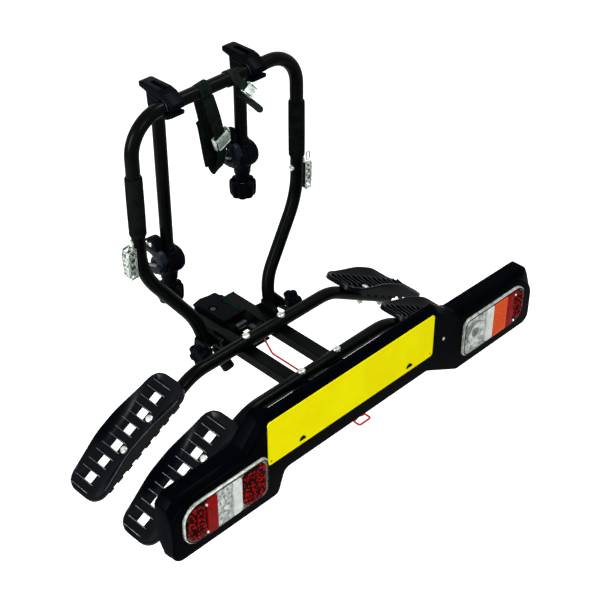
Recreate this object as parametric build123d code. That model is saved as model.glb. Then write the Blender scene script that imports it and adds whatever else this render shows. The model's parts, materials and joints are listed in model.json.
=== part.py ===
from build123d import *
from math import cos, sin, radians
import os

# Hitch bike rack, millimetres. The origin is on the tow-ball socket's axis, level with the beams'
# centre line. X runs across the car, +Y points to the car and +Z is up.

# Fits and thicknesses
running_fit = 0.06
free_gap = 0.4
bolt_hole_gap = 0.2

# Tow ball and coupler
ball_diameter = 50.0
ball_clearance = 0.1
ball_drop = 12.0
cup_wall = 4.9
cup_mouth_depth = 24.0
cup_shoulder_height = 1.0
cup_height = 16.0
housing_half_width = 36.0
housing_front = 38.0
housing_rear = -52.0
housing_roof = 22.0
cover_thickness = 4.0
cover_skirt = 10.0
clamp_bolt_x = 22.0
clamp_bolt_y = 2.0
clamp_bolt_radius = 4.0
hex_recess = 23.0

# Tilt pivot
tilt_y = -70.0
tilt_z = 3.0
tilt_bolt_radius = 6.0
lug_radius = 14.0
lug_inner = 18.0
spacer_radius = 9.0
washer_radius = 11.5
washer_thickness = 2.5
bolt_head_height = 4.8
bolt_head_across = 17.0

# Beams
beam_centre = 56.0
beam_width = 34.0
beam_height = 28.0
beam_wall = 2.5
beam_front = 30.0
beam_rear = -450.0

# Cross tubes and trays
tube_radius = 16.0
tube_wall = 2.0
front_tube_y = -153.0
wheel_spacing = 183.0
tube_bend_x = 222.0
tube_bend_radius = 130.0
tray_slope = 30.0
tray_start = 216.0
tray_length = 324.0
tray_width = 108.0
tray_floor = 3.2
tray_wall = 4.0
tray_wall_peak = 30.0
tray_rim = 8.0
tray_skirt = 5.0
tray_skirt_inset = 40.0
tray_notch_pitch = 32.0
tray_notch_count = 7
tray_notch_first = 70.0
tray_notch_long = 14.0
tray_offset = 15.0
tray_corner = 34.0
tray_hole_pitch = 45.0
tray_hole_first = 57.0
tray_hole_long = 26.0
tray_hole_wide = 27.0
tray_hole_line = 10.0
tray_bank = 3.0
tray_bank_foot = 12.0
tray_hole_count = 6
tray_bolt_first = 102.5
tube_end_margin = 110.0
tray_bolt_inset = 23.0
tray_bolt_pitch = tray_length - tube_end_margin - tray_bolt_inset - tray_bolt_first
plug_depth = 12.0
plug_face = 2.5
dome_radius = 9.5
dome_height = 6.0
dome_shank = 4.0
nut_height = 6.0
nut_across = 13.0
bolt_end = 3.0

# Hoop
hoop_y = -20.0
hoop_half = 242.0
hoop_top = 629.0
hoop_corner_radius = 86.0
hoop_knee_z = 249.0
hoop_knee_radius = 180.0
foot_x = 108.0
foot_bend_y = -45.0
foot_bend_z = 59.0
foot_bend_radius = 150.0
foot_lean = 1 / 3
foot_end_z = -6.0
hoop_axis_y = -95.0
hoop_axis_z = 10.0
stud_radius = 6.0
foot_plate = 7.0
foot_plate_radius = 15.0
cheek_thickness = 6.0
boss_radius = 15.0
plate_overlap = 0.5
side_knob_inner = 135.0
side_knob_outer = 163.0
side_knob_radius = 26.0
side_hub_radius = 13.0
knob_lobes = 6
grip_bottom = 354.0
grip_top = 499.0
grip_radius = 19.5
leg_bolt_z = 325.0
leg_bolt_head = 7.5
leg_buckle_bottom = 252.0
leg_buckle_top = 335.0
leg_buckle_half = 13.0
leg_lever_axis_z = 318.0
leg_lever_reach = 16.0
leg_lever_length = 62.0
leg_lever_pin = 2.0
leg_cam_radius = 6.0

# Arms that hang from the hoop's bar
left_arm_x = -131.0
right_arm_x = 106.0
left_hub_z = 212.0
right_hub_z = 395.0
arm_y = 23.0
arm_radius = 15.0
arm_wall = 2.0
arm_top = 636.0
clamp_width = 44.0
hub_radius = 32.0
hub_width = 46.0
neck_radius = 18.0
neck_length = 69.0
arm_knob_radius = 32.0
arm_knob_height = 40.0
pivot_radius = 12.0
pivot_depth = 12.0
stud_depth = 30.0
arm_seat = 22.0
jaw_width = 17.0
jaw_disc = 24.0
jaw_pin_radius = 3.0
jaw_pin = (-15.0, 4.0)

# Light board
board_front = -500.0
board_wall = 3.0
centre_depth = 28.0
pod_depth = 52.0
pod_step_z = -22.0
pod_step_depth = 34.0
pod_bottom = -60.0
pod_top = 104.0
centre_bottom = -1.0
centre_top = 168.0
bevel_depth = 20.0
bevel_drop = 12.0
plate_length = 520.0
plate_height = 116.0
plate_bottom = 42.0
plate_thickness = 1.6
lamp_length = 232.0
lamp_height = 108.0
lamp_bottom = -30.0
lamp_rim = 6.0
lamp_base = 6.0
lens_rise = 4.0
left_lamp_margin = 26.0
lamp_plate_gap = 2.0
bare_field = 111.0
right_lamp_margin = 37.0
left_lens_splits = (60.0, 87.0, 164.0)
right_lens_splits = (109.0, 159.0, 184.0)
lens_gap = 0.3
bracket_thickness = 4.0
screw_head_radius = 7.0
screw_head_height = 4.0
clip_radius = 9.0
clip_z = 54.0

# The board is as long as the lamps, the plate and the bare field beside it
board_half = (left_lamp_margin + 2 * lamp_length + lamp_plate_gap + plate_length + bare_field
              + right_lamp_margin) / 2
left_lamp_start = left_lamp_margin - board_half
plate_left = left_lamp_start + lamp_length + lamp_plate_gap
right_lamp_start = plate_left + plate_length + bare_field
pod_left_end = plate_left + 20
pod_right_end = right_lamp_start - 26

# Release rod
rod_radius = 2.5
rod_x = -16.5
rod_z = -2.0
latch_x = 18.0
latch_half = 7.0
latch_rear = -116.0
handle_drop = 26.0
handle_width = 36.0

# Straps and buckles
wide_strap = 30.0
narrow_strap = 20.0
strap_thickness = 2.4
strap_gap = 0.4
buckle_plate = 2.0
wide_strap_x = -46.0
wide_buckle_at = (28.0, 6.0, 474.0)
wide_loop_at = (40.0, 30.0, 372.0)
narrow_strap_x = 38.0
narrow_buckle_at = (60.0, -58.0, 606.0)
narrow_tail_at = (67.0, -72.0, 570.0)

# Rubber stop foot on the left bracket
foot_tip_at = (-80.0, -118.0, -59.0)
foot_lean_y = -0.822
foot_lean_z = -0.569
foot_radius = 15.5
foot_length = 30.0
foot_stub_radius = 9.0
foot_stub_length = 36.0


def save(name, shape):
    export_step(shape, f"parts/{name}.step")


def block(x0, x1, y0, y1, z0, z1):
    return Pos((x0 + x1) / 2, (y0 + y1) / 2, (z0 + z1) / 2) * Box(x1 - x0, y1 - y0, z1 - z0)


def standing_cylinder(radius, height):
    return Cylinder(radius, height, align=(Align.CENTER, Align.CENTER, Align.MIN))


def rod_between(start, end, radius):
    start, end = Vector(*start), Vector(*end)
    run = end - start
    return Plane(origin=start, z_dir=run) * standing_cylinder(radius, run.length)


def mirrored(shape):
    return mirror(shape, about=Plane.YZ)


def side_plate(points, x0, x1, radii=None):
    """A plate between x0 and x1 whose outline is given as (y, z) corners."""
    corners = [(0, y, z) for y, z in points]
    edge = FilletPolyline(*corners, radius=radii, close=True) if radii else Polyline(*corners, close=True)
    face = make_face(edge)
    return Pos(min(x0, x1), 0, 0) * extrude(face, amount=abs(x1 - x0), dir=(1, 0, 0))


def swept_tube(points, radii, outer, wall):
    """A round tube along straight runs joined by arcs; a wall of 0 makes a solid rod."""
    path = FilletPolyline(*points, radius=radii)
    start = Plane(origin=path @ 0, z_dir=path % 0)
    solid = sweep(start * Circle(outer), path=path)
    if wall:
        solid -= sweep(start * Circle(outer - wall), path=path)
    return solid


def hexagon_prism(centre, across, height, axis):
    hexagon = RegularPolygon(across / 2, 6, major_radius=False)
    return Plane(origin=centre, z_dir=axis) * extrude(hexagon, height)


def lobed_prism(radius, lobes, height):
    """A hand knob's grip along +Z from the origin, with rounded hollows between its lobes."""
    grip = standing_cylinder(radius, height)
    hollow_radius = radius * 0.26
    hollow = standing_cylinder(hollow_radius, height)
    for place in PolarLocations(radius + hollow_radius * 0.45, lobes):
        grip -= place * hollow
    return grip


# Coupler

def coupler_housing():
    cup_radius = ball_diameter / 2 + ball_clearance + cup_wall
    half = housing_half_width
    body = block(-half, half, housing_rear, housing_front, -cup_mouth_depth, housing_roof)
    body = chamfer(body.edges().filter_by(Axis.Z), 5)
    for side in (-1, 1):
        inner, outer = side * lug_inner, side * housing_half_width
        lug = block(min(inner, outer), max(inner, outer), tilt_y, housing_rear,
                    tilt_z - lug_radius, tilt_z + lug_radius)
        lug += rod_between((inner, tilt_y, tilt_z), (outer, tilt_y, tilt_z), lug_radius)
        body += lug
    seat = standing_cylinder(cup_radius + bolt_hole_gap, cup_mouth_depth + cup_height)
    body -= Pos(0, 0, -cup_mouth_depth) * seat
    reach = housing_half_width + 1
    body -= rod_between((-reach, tilt_y, tilt_z), (reach, tilt_y, tilt_z), tilt_bolt_radius + running_fit)
    for side in (-1, 1):
        centre = (side * clamp_bolt_x, clamp_bolt_y)
        body -= rod_between((*centre, 0), (*centre, housing_roof + 1), clamp_bolt_radius + bolt_hole_gap)
    return body


def ball_cup():
    """The socket: a straight wall that the ball slides into, and a coned roof that it seats against."""
    bore = ball_diameter / 2 + ball_clearance
    outer = bore + cup_wall
    roof_radius = 12.0
    roof_z = ball_diameter / 2 - ball_drop + 0.6
    profile = Polyline(
        (bore, 0, -cup_mouth_depth), (outer, 0, -cup_mouth_depth), (outer, 0, cup_height),
        (0, 0, cup_height), (0, 0, roof_z), (roof_radius, 0, roof_z),
        (bore, 0, cup_shoulder_height), close=True)
    return revolve(make_face(profile), Axis.Z)


def clamp_bolts():
    """Two screws that press the cup on the ball; their heads lie in the cover's hexagonal recesses."""
    bolts = Part()
    for side in (-1, 1):
        centre = (side * clamp_bolt_x, clamp_bolt_y)
        shank = rod_between((*centre, cup_height), (*centre, housing_roof), clamp_bolt_radius)
        head = hexagon_prism((*centre, housing_roof), nut_across, cover_thickness - 0.8, (0, 0, 1))
        bolts += shank + head
    return bolts


def coupler_cover():
    half = housing_half_width + 2.0
    nose_back = beam_front + 3.0
    outline = FilletPolyline(
        (-half, housing_rear - 4), (half - 4, housing_rear - 4), (half - 4, 20), (30, 24),
        (28, 50), (4, 52), (-18, 57), (-46, 50), (-44, nose_back), (-half, nose_back),
        radius=[6, 6, 3, 3, 6, 8, 8, 4, 3, 2], close=True)
    lid = Pos(0, 0, housing_roof) * extrude(make_face(outline), cover_thickness)
    nose = block(-44, 28, housing_front + free_gap, 50, housing_roof - cover_skirt - 16, housing_roof)
    nose = chamfer(nose.edges().filter_by(Axis.Z), 4)
    cover = lid + nose
    cover = chamfer(cover.faces().sort_by(Axis.Z)[-1].edges(), 1.5)
    for side in (-1, 1):
        centre = (side * clamp_bolt_x, clamp_bolt_y, housing_roof)
        cover -= hexagon_prism(centre, hex_recess, cover_thickness + 1, (0, 0, 1))
    return cover


def tilt_spacer():
    """The tube between the coupler's lugs, with a washer at its left end."""
    left, right = (-lug_inner, tilt_y, tilt_z), (lug_inner, tilt_y, tilt_z)
    washer_end = (-lug_inner + washer_thickness, tilt_y, tilt_z)
    spacer = rod_between(left, right, spacer_radius) + rod_between(left, washer_end, washer_radius)
    return spacer - rod_between(left, right, tilt_bolt_radius + running_fit)


# Platform

beam_inner = beam_centre - beam_width / 2
beam_outer = beam_centre + beam_width / 2
tube_axis_z = beam_height / 2 + tube_radius
rear_tube_y = front_tube_y - wheel_spacing
slope = radians(tray_slope)
tray_floor_base = tube_bend_x * sin(slope) + tube_axis_z * cos(slope) + tube_radius


def tray_point(s, y, height):
    """A point of the left side: s mm down the slope, height above the underside of the tray floor."""
    level = tray_floor_base + height
    return (-cos(slope) * s - sin(slope) * level, y, -sin(slope) * s + cos(slope) * level)


def tube_bolt_rows():
    return [(side * (beam_centre + 1), y) for y in (front_tube_y, rear_tube_y) for side in (-1, 1)]


def tray_bolt_stations():
    return [tray_start + tray_bolt_first, tray_start + tray_bolt_first + tray_bolt_pitch]


def beam():
    half = beam_height / 2
    outer = block(beam_inner, beam_outer, beam_rear, beam_front, -half, half)
    outer = fillet(outer.edges().filter_by(Axis.Y), 3)
    tube = outer - block(beam_inner + beam_wall, beam_outer - beam_wall, beam_rear - 1, beam_front + 1,
                         beam_wall - half, half - beam_wall)
    tube -= rod_between((beam_inner - 1, tilt_y, tilt_z), (beam_outer + 1, tilt_y, tilt_z),
                        tilt_bolt_radius + running_fit)
    for x, y in tube_bolt_rows():
        if x > 0:
            tube -= rod_between((x, y, -half - 1), (x, y, half + 1), dome_shank + bolt_hole_gap)
    return tube


def cross_tube(y):
    """One bent tube across both beams, drilled for its dome bolts."""
    end_s = tray_start + tray_length - tube_end_margin
    down = tray_point(end_s, y, -tube_radius)
    points = [down, (-tube_bend_x, y, tube_axis_z), (tube_bend_x, y, tube_axis_z),
              (-down[0], y, down[2])]
    tube = swept_tube(points, [tube_bend_radius, tube_bend_radius], tube_radius, tube_wall)
    hole = dome_shank + bolt_hole_gap
    for x, bolt_y in tube_bolt_rows():
        if bolt_y == y:
            tube -= rod_between((x, y, tube_axis_z - 20), (x, y, tube_axis_z + 20), hole)
    for s in tray_bolt_stations():
        drill = rod_between(tray_point(s, y, -2 * tube_radius - 2), tray_point(s, y, 2), hole)
        tube -= drill
        tube -= mirrored(drill)
    return tube


def dome_bolt(foot, seat, direction):
    """A shank from foot to seat with a domed head above the seat."""
    shank = rod_between(foot, seat, dome_shank)
    head = standing_cylinder(dome_radius, dome_height)
    head = fillet(head.edges().sort_by(Axis.Z)[-1:], dome_height * 0.75)
    return shank + Plane(origin=seat, z_dir=direction) * head


def dome_bolts():
    bolts = Part()
    up = (0, 0, 1)
    for x, y in tube_bolt_rows():
        foot = (x, y, -beam_height / 2 - nut_height - bolt_end)
        bolts += dome_bolt(foot, (x, y, tube_axis_z + tube_radius), up)
    normal = (-sin(slope), 0, cos(slope))
    for y in (front_tube_y, rear_tube_y):
        for s in tray_bolt_stations():
            low = tray_point(s, y, -2 * tube_radius - nut_height - bolt_end)
            bolt = dome_bolt(low, tray_point(s, y, tray_floor), normal)
            bolts += bolt
            bolts += mirrored(bolt)
    return bolts


def lock_nuts():
    """Nuts under the beams and under the sloping tubes, one for each dome bolt."""
    nuts = Part()
    for x, y in tube_bolt_rows():
        seat = (x, y, -beam_height / 2 - nut_height)
        nut = hexagon_prism(seat, nut_across, nut_height, (0, 0, 1))
        nuts += nut - rod_between((x, y, seat[2] - 1), (x, y, 0), dome_shank)
    normal = (-sin(slope), 0, cos(slope))
    for y in (front_tube_y, rear_tube_y):
        for s in tray_bolt_stations():
            base = tray_point(s, y, -2 * tube_radius - nut_height)
            nut = hexagon_prism(base, nut_across, nut_height + 0.6, normal)
            below = tray_point(s, y, -2 * tube_radius - nut_height - 1)
            nut -= rod_between(below, tray_point(s, y, 0), dome_shank)
            tube_start, tube_end = tray_point(s - 20, y, -tube_radius), tray_point(s + 20, y, -tube_radius)
            nut -= rod_between(tube_start, tube_end, tube_radius)
            nuts += nut
            nuts += mirrored(nut)
    return nuts


def tray_slope(side, foot):
    """The thin bank from the channel's edge up to the top of one side wall, before it is cut to the crest."""
    top_v = side * (tray_width / 2 - tray_wall / 2)
    peak = tray_floor + tray_wall_peak
    section = Polyline((0, foot - side * tray_bank, 0), (0, foot + side * tray_bank, 0), (0, top_v, peak - tray_bank),
                       (0, top_v, peak), (0, top_v - side, peak), (0, foot, tray_floor),
                       (0, foot - side * tray_bank, tray_floor), close=True)
    reach = tray_length / 2 - tray_wall
    return Pos(-reach, 0, 0) * extrude(make_face(section), amount=2 * reach, dir=(1, 0, 0))


def tray(tube_y):
    """The left tray: floor with a rim that rises along both sides, holes, ribs and a notched skirt."""
    centre_y = tube_y + tray_offset
    middle = tray_start + tray_length / 2
    plane = Plane(origin=tray_point(middle, centre_y, 0), x_dir=(-cos(slope), 0, -sin(slope)),
                  z_dir=(-sin(slope), 0, cos(slope)))
    half = tray_length / 2
    outer = RectangleRounded(tray_length, tray_width, tray_corner)
    inner = RectangleRounded(tray_length - 2 * tray_wall, tray_width - 2 * tray_wall,
                             tray_corner - tray_wall)
    floor = extrude(outer, tray_floor)
    ring = Pos(0, 0, -tray_skirt) * extrude(outer - inner, tray_skirt + tray_wall_peak + tray_floor)
    rim = tray_floor + tray_rim
    peak = tray_floor + tray_wall_peak
    crest = Spline((-half, 0, rim), (-half + 54, 0, rim + 5), (-half + 129, 0, peak - 2), (4, 0, peak),
                   (half - 123, 0, peak - 1), (half - 66, 0, rim + 8), (half - 30, 0, rim),
                   (half, 0, rim - 2))
    skirt_end = half - tray_skirt_inset
    base = Polyline((half, 0, rim - 2), (half, 0, 0), (skirt_end, 0, 0), (skirt_end, 0, -tray_skirt),
                    (-skirt_end, 0, -tray_skirt), (-skirt_end, 0, 0), (-half, 0, 0), (-half, 0, rim))
    profile = make_face([crest, *base.edges()])
    envelope = Pos(0, -tray_width, 0) * extrude(profile, amount=2 * tray_width, dir=(0, 1, 0))
    body = floor + (ring & envelope)
    line = tray_hole_line
    hole_edge = tray_hole_wide / 2
    for side, foot in ((1, line + hole_edge + 1), (-1, line - hole_edge - 2 * tray_bank_foot)):
        body += tray_slope(side, foot) & envelope & extrude(outer, peak)
    for n in range(tray_hole_count):
        x = tray_hole_first + n * tray_hole_pitch - half
        body -= Pos(x, line, 0) * Box(tray_hole_long, tray_hole_wide, 3 * tray_floor)
        for offset in (-(tray_hole_pitch / 2) + 3, -(tray_hole_pitch / 2) - 3):
            rib = Pos(x + offset, line, tray_floor + 1.2) * Box(2.2, tray_hole_wide + 6, 2.4)
            body += rib
    for n in range(tray_notch_count):
        x = -half + tray_notch_first + n * tray_notch_pitch
        body -= Pos(x, 0, -tray_skirt) * Box(tray_notch_long, 2 * tray_width, tray_skirt)
    body = plane * body
    for s in tray_bolt_stations():
        body -= rod_between(tray_point(s, tube_y, -5), tray_point(s, tube_y, 20),
                            dome_shank + bolt_hole_gap)
    return body


def end_plugs():
    """Plastic plugs in the ends of the beams and of the sloping tubes."""
    plugs = Part()
    half = beam_height / 2
    for side in (-1, 1):
        x0, x1 = sorted((side * (beam_inner + beam_wall), side * (beam_outer - beam_wall)))
        f0, f1 = sorted((side * beam_inner, side * beam_outer))
        plugs += block(x0, x1, beam_front - plug_depth, beam_front, beam_wall - half, half - beam_wall)
        plugs += block(f0, f1, beam_front, beam_front + plug_face, -half, half)
    end_s = tray_start + tray_length - tube_end_margin
    for y in (front_tube_y, rear_tube_y):
        mouth = tray_point(end_s, y, -tube_radius)
        plug = rod_between(tray_point(end_s - plug_depth, y, -tube_radius), mouth, tube_radius - tube_wall)
        plug += rod_between(mouth, tray_point(end_s + plug_face, y, -tube_radius), tube_radius)
        plugs += plug
        plugs += mirrored(plug)
    return plugs


def tilt_bolt():
    """The long bolt through both beams and the coupler's lugs, with its nut at the right."""
    reach = beam_outer + cheek_thickness
    bolt = rod_between((-reach, tilt_y, tilt_z), (reach, tilt_y, tilt_z), tilt_bolt_radius)
    for side in (-1, 1):
        bolt += hexagon_prism((side * reach, tilt_y, tilt_z), bolt_head_across, bolt_head_height,
                              (side, 0, 0))
    return bolt


foot_plate_starts = (foot_x - tube_radius - foot_plate + plate_overlap,
                     foot_x + tube_radius - plate_overlap)


def hoop_bracket():
    """The right cheek: a plate welded to the beam's side, with the threaded boss for the side knob."""
    outline = [(-120, -13), (-44, -13), (-44, 10), (-66, 30), (-108, 30), (-120, 20)]
    plate = side_plate(outline, beam_outer, beam_outer + cheek_thickness, [6, 6, 6, 10, 8, 6])
    boss_end = foot_plate_starts[0] - free_gap
    y, z = hoop_axis_y, hoop_axis_z
    plate += rod_between((beam_outer, y, z), (boss_end, y, z), boss_radius)
    plate -= rod_between((beam_outer + 1, y, z), (boss_end + 1, y, z), stud_radius + running_fit)
    plate -= rod_between((beam_outer - 1, tilt_y, tilt_z), (boss_end + 1, tilt_y, tilt_z),
                         tilt_bolt_radius + running_fit)
    return plate


foot_direction = Vector(0, foot_lean_y, foot_lean_z)
foot_tip = Vector(*foot_tip_at)


def left_hoop_bracket():
    """The left cheek, which also carries the stub of the stop foot below the beam."""
    cheek = mirrored(hoop_bracket())
    tab_outline = [(-100, -13), (-55, -13), (-55, -26), (-66, -37), (-84, -37)]
    tab = side_plate(tab_outline, -beam_outer - cheek_thickness, -beam_outer)
    stub_start = foot_tip - foot_direction * (foot_length + foot_stub_length)
    stub_end = foot_tip - foot_direction * foot_length
    stub = rod_between(tuple(stub_start), tuple(stub_end), foot_stub_radius)
    return cheek + tab + (stub - block(-200, 0, -200, 0, -13.9, 200))


def stop_foot():
    start = foot_tip - foot_direction * foot_length
    foot = standing_cylinder(foot_radius, foot_length)
    foot = fillet(foot.edges().sort_by(Axis.Z)[-1:], 6)
    return Plane(origin=start, z_dir=foot_direction) * foot


def rod_guide():
    """Two plates between the beams that carry the release rod and its latch nose."""
    hole = rod_radius + free_gap
    rear = block(-beam_inner, beam_inner, rear_tube_y - 1.5, rear_tube_y + 1.5, -10, 12)
    rear -= rod_between((rod_x, rear_tube_y - 3, rod_z), (rod_x, rear_tube_y + 3, rod_z), hole)
    front = block(-beam_inner, beam_inner, -111, -108, -13, 9)
    front -= block(latch_x - latch_half - free_gap, latch_x + latch_half + free_gap, -112, -107,
                   rod_z - latch_half - free_gap, rod_z + latch_half + free_gap)
    return rear + front


# Light board

def board_outline(drop, inset, y):
    """The front view's outline at depth y, its top lowered by drop and its whole form drawn in by inset."""
    right = board_half - 2
    corners = [
        (-board_half, pod_bottom), (pod_left_end + 12, pod_bottom), (pod_left_end + 32, centre_bottom),
        (pod_right_end - 97, centre_bottom), (pod_right_end + 15, pod_bottom), (right, pod_bottom),
        (right, pod_top - 46), (right - 30, pod_top - drop), (pod_right_end + 7, pod_top + 4 - drop),
        (pod_right_end - 71, centre_top - drop), (pod_left_end - 26, centre_top - drop),
        (pod_left_end - 80, pod_top + 4 - drop), (24 - board_half, pod_top - drop),
        (-board_half, pod_top - 26)]
    radii = [24, 10, 8, 14, 30, 26, 24, 22, 46, 30, 24, 34, 24, 20]
    face = make_face(FilletPolyline(*[(x, y, z) for x, z in corners], radius=radii, close=True))
    return offset(face, amount=-inset) if inset else face


def board_solid(inset, back_extra):
    """The board's outer form, or the hollow inside it when inset by the wall."""
    front = board_front + inset
    ridge = board_front + bevel_depth + inset
    back = board_front + pod_depth + back_extra
    bevel = loft([board_outline(bevel_drop, inset, front), board_outline(0, inset, ridge)], ruled=True)
    body = bevel + extrude(board_outline(0, inset, ridge), amount=back - ridge, dir=(0, 1, 0))
    recess = block(pod_left_end - inset, pod_right_end + inset, board_front + centre_depth, back + 1,
                   2 * pod_bottom, 2 * centre_top)
    step = block(-board_half - 1, board_half + 1, board_front + pod_step_depth, back + 1,
                 2 * pod_bottom, pod_step_z)
    return body - recess - step


def light_board():
    shell = board_solid(0, 0) - board_solid(board_wall, 5)
    ribs = Part()
    for x in (-330, -240, -150, 150, 240):
        top = pod_top - 20 if abs(x) > 300 else centre_top - bevel_drop - board_wall - 4
        ribs += block(x - 1.5, x + 1.5, board_front + board_wall, board_front + centre_depth - 4, 8, top)
    return shell + ribs


def board_bracket():
    """Two straps from the beams' tops to a plate behind the board's front wall."""
    half = beam_height / 2
    back = board_front + board_wall
    body = block(-beam_outer, beam_outer, back, back + bracket_thickness, 8, 70)
    for side in (-1, 1):
        x0, x1 = sorted((side * (beam_inner + 4), side * (beam_outer - 4)))
        body += block(x0, x1, back, beam_rear + 60, half, half + bracket_thickness)
    return body


def board_screws():
    """Screws through the board into its bracket, and one in the bare field beside the right lamp."""
    screws = Part()
    for side in (-1, 1):
        x = side * beam_centre
        seat = beam_height / 2 + bracket_thickness
        for y in (beam_rear + 20, beam_rear + 45):
            screws += rod_between((x, y, seat), (x, y, seat + screw_head_height), screw_head_radius)
    field_x = plate_left + plate_length + 38
    screws += rod_between((field_x, board_front - 2, 68), (field_x, board_front, 68), 4)
    return screws


def number_plate():
    centre_x, centre_z = plate_left + plate_length / 2, plate_bottom + plate_height / 2
    sheet = extrude(RectangleRounded(plate_length, plate_height, 8), plate_thickness)
    sheet = Plane(origin=(centre_x, board_front, centre_z), x_dir=(1, 0, 0), z_dir=(0, -1, 0)) * sheet
    hole_z = plate_bottom + 9
    for x in (plate_left + 9, plate_left + plate_length - 9):
        sheet -= rod_between((x, board_front - 5, hole_z), (x, board_front + 1, hole_z), 2.4)
    return sheet


def plate_clips():
    clips = Part()
    for x in (plate_left + 100, plate_left + plate_length - 81):
        seat = board_front - plate_thickness
        clip = rod_between((x, seat - 2, clip_z), (x, seat, clip_z), clip_radius)
        clips += clip & block(x - clip_radius, x + clip_radius, seat - 2, seat, clip_z, clip_z + clip_radius)
    return clips


def lamp_face(grow):
    """A lamp's outline for the left side, rounder at its outboard end; grow is negative for the pocket."""
    x0 = left_lamp_start - grow
    x1 = left_lamp_start + lamp_length + grow
    z0 = lamp_bottom - grow
    z1 = lamp_bottom + lamp_height + grow
    corners = [(x0, 0, z0), (x1, 0, z0), (x1, 0, z1), (x0, 0, z1)]
    radii = [40 + grow, 20 + grow, 20 + grow, 40 + grow]
    return make_face(FilletPolyline(*corners, radius=radii, close=True))


def lamp_housing():
    body = Pos(0, board_front, 0) * extrude(lamp_face(0), amount=lamp_base, dir=(0, -1, 0))
    pocket = Pos(0, board_front - 2, 0) * extrude(lamp_face(-lamp_rim), amount=lamp_base, dir=(0, -1, 0))
    return body - pocket


def lens(x0, x1):
    """One lens segment of the left lamp between x0 and x1, with a softly raised face."""
    front = board_front - 2
    face = lamp_face(-lamp_rim - lens_gap)
    solid = Pos(0, front, 0) * extrude(face, amount=lamp_base - 2 + lens_rise, dir=(0, -1, 0))
    solid = solid & block(x0 + lens_gap, x1 - lens_gap, front - 20, front, 2 * lamp_bottom, 2 * lamp_height)
    rim = solid.faces().sort_by(Axis.Y)[0].edges()
    return chamfer(rim, 1.5)


def right_lens(x0, x1):
    """The right lamp is the left one mirrored and moved to its place."""
    shift = right_lamp_start - (-left_lamp_start - lamp_length)
    return Pos(shift, 0, 0) * mirrored(lens(-(x1 - shift), -(x0 - shift)))


def right_lamp_housing():
    shift = right_lamp_start - (-left_lamp_start - lamp_length)
    return Pos(shift, 0, 0) * mirrored(lamp_housing())


# Release rod

def release_rod():
    """The red rod, cranked between the beams, dropping under the board to its loop handle."""
    low = rod_z - handle_drop
    half = handle_width / 2
    points = [
        (latch_x, latch_rear, rod_z), (latch_x, latch_rear - 8, rod_z), (rod_x, -199, rod_z),
        (rod_x, -440, rod_z), (rod_x, -456, low), (rod_x, -474, low), (rod_x - half, -478, low),
        (rod_x - half, -496, low), (rod_x + half, -496, low), (rod_x + half, -478, low),
        (rod_x + 7, -476, low)]
    radii = [4, 20, 8, 8, 4, 4, 5, 5, 4]
    return swept_tube(points, radii, rod_radius, 0)


def release_latch():
    """The nose that stands behind the coupler's lug; the rod screws into its rear end."""
    front = tilt_y - lug_radius - free_gap
    nose = block(latch_x - latch_half, latch_x + latch_half, latch_rear, front,
                 rod_z - latch_half, rod_z + latch_half)
    return chamfer(nose.edges().filter_by(Axis.Y), 1)


# Hoop

def hoop_points():
    foot_end_y = foot_bend_y + (foot_end_z - foot_bend_z) * foot_lean
    right_side = [(foot_x, foot_end_y, foot_end_z), (foot_x, foot_bend_y, foot_bend_z),
                  (hoop_half + 1, hoop_y, hoop_knee_z), (hoop_half, hoop_y, hoop_top)]
    left_side = [(-x, y, z) for x, y, z in right_side]
    return left_side + right_side[::-1]


def foot_plates(side):
    """Two plates beside the hoop's foot that reach back to the side knob's stud."""
    plates = Part()
    for x0 in foot_plate_starts:
        x1 = x0 + foot_plate
        bar = side_plate([(-66, -8), (-50, 0), (-54, 28), (-92, 24), (-104, 10), (-94, -4)], x0, x1)
        y, z = hoop_axis_y, hoop_axis_z
        bar += rod_between((x0, y, z), (x1, y, z), foot_plate_radius)
        bar -= rod_between((x0 - 1, y, z), (x1 + 1, y, z), stud_radius + running_fit)
        plates += bar
    return plates if side > 0 else mirrored(plates)


def hoop_tube():
    radii = [foot_bend_radius, hoop_knee_radius, hoop_corner_radius]
    radii = radii + radii[::-1]
    tube = swept_tube(hoop_points(), radii, tube_radius, tube_wall)
    for side in (-1, 1):
        tube += foot_plates(side)
        outer = (side * (hoop_half + 2 * tube_radius), hoop_y, leg_bolt_z)
        inner = (side * (hoop_half - 2 * tube_radius), hoop_y, leg_bolt_z)
        tube -= rod_between(outer, inner, dome_shank + bolt_hole_gap)
    return tube


def leg_x_at(z):
    """The right leg's centre line between its knee and the top bar."""
    return hoop_half + (hoop_top - z) / (hoop_top - hoop_knee_z)


def foam_grip():
    """A foam sleeve on the right leg."""
    bottom = (leg_x_at(grip_bottom), hoop_y, grip_bottom)
    top = (leg_x_at(grip_top), hoop_y, grip_top)
    sleeve = rod_between(bottom, top, grip_radius)
    sleeve = fillet(sleeve.edges(), 2)
    return sleeve - rod_between(bottom, top, tube_radius)


def leg_bolts():
    """A bolt through each leg that holds the cam buckle, with its head inside."""
    bolts = Part()
    centre = leg_x_at(leg_bolt_z)
    inner, outer = centre - tube_radius, centre + tube_radius
    for side in (-1, 1):
        seat = (side * inner, hoop_y, leg_bolt_z)
        shank = rod_between(seat, (side * (outer + 6), hoop_y, leg_bolt_z), dome_shank)
        head = fillet(standing_cylinder(leg_bolt_head, 4.5).edges().sort_by(Axis.Z)[-1:], 3)
        bolts += shank + Plane(origin=seat, z_dir=(-side, 0, 0)) * head
    return bolts


leg_buckle_x = hoop_half + tube_radius + 1.5
leg_lever_axis_x = leg_buckle_x + leg_lever_reach


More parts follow.
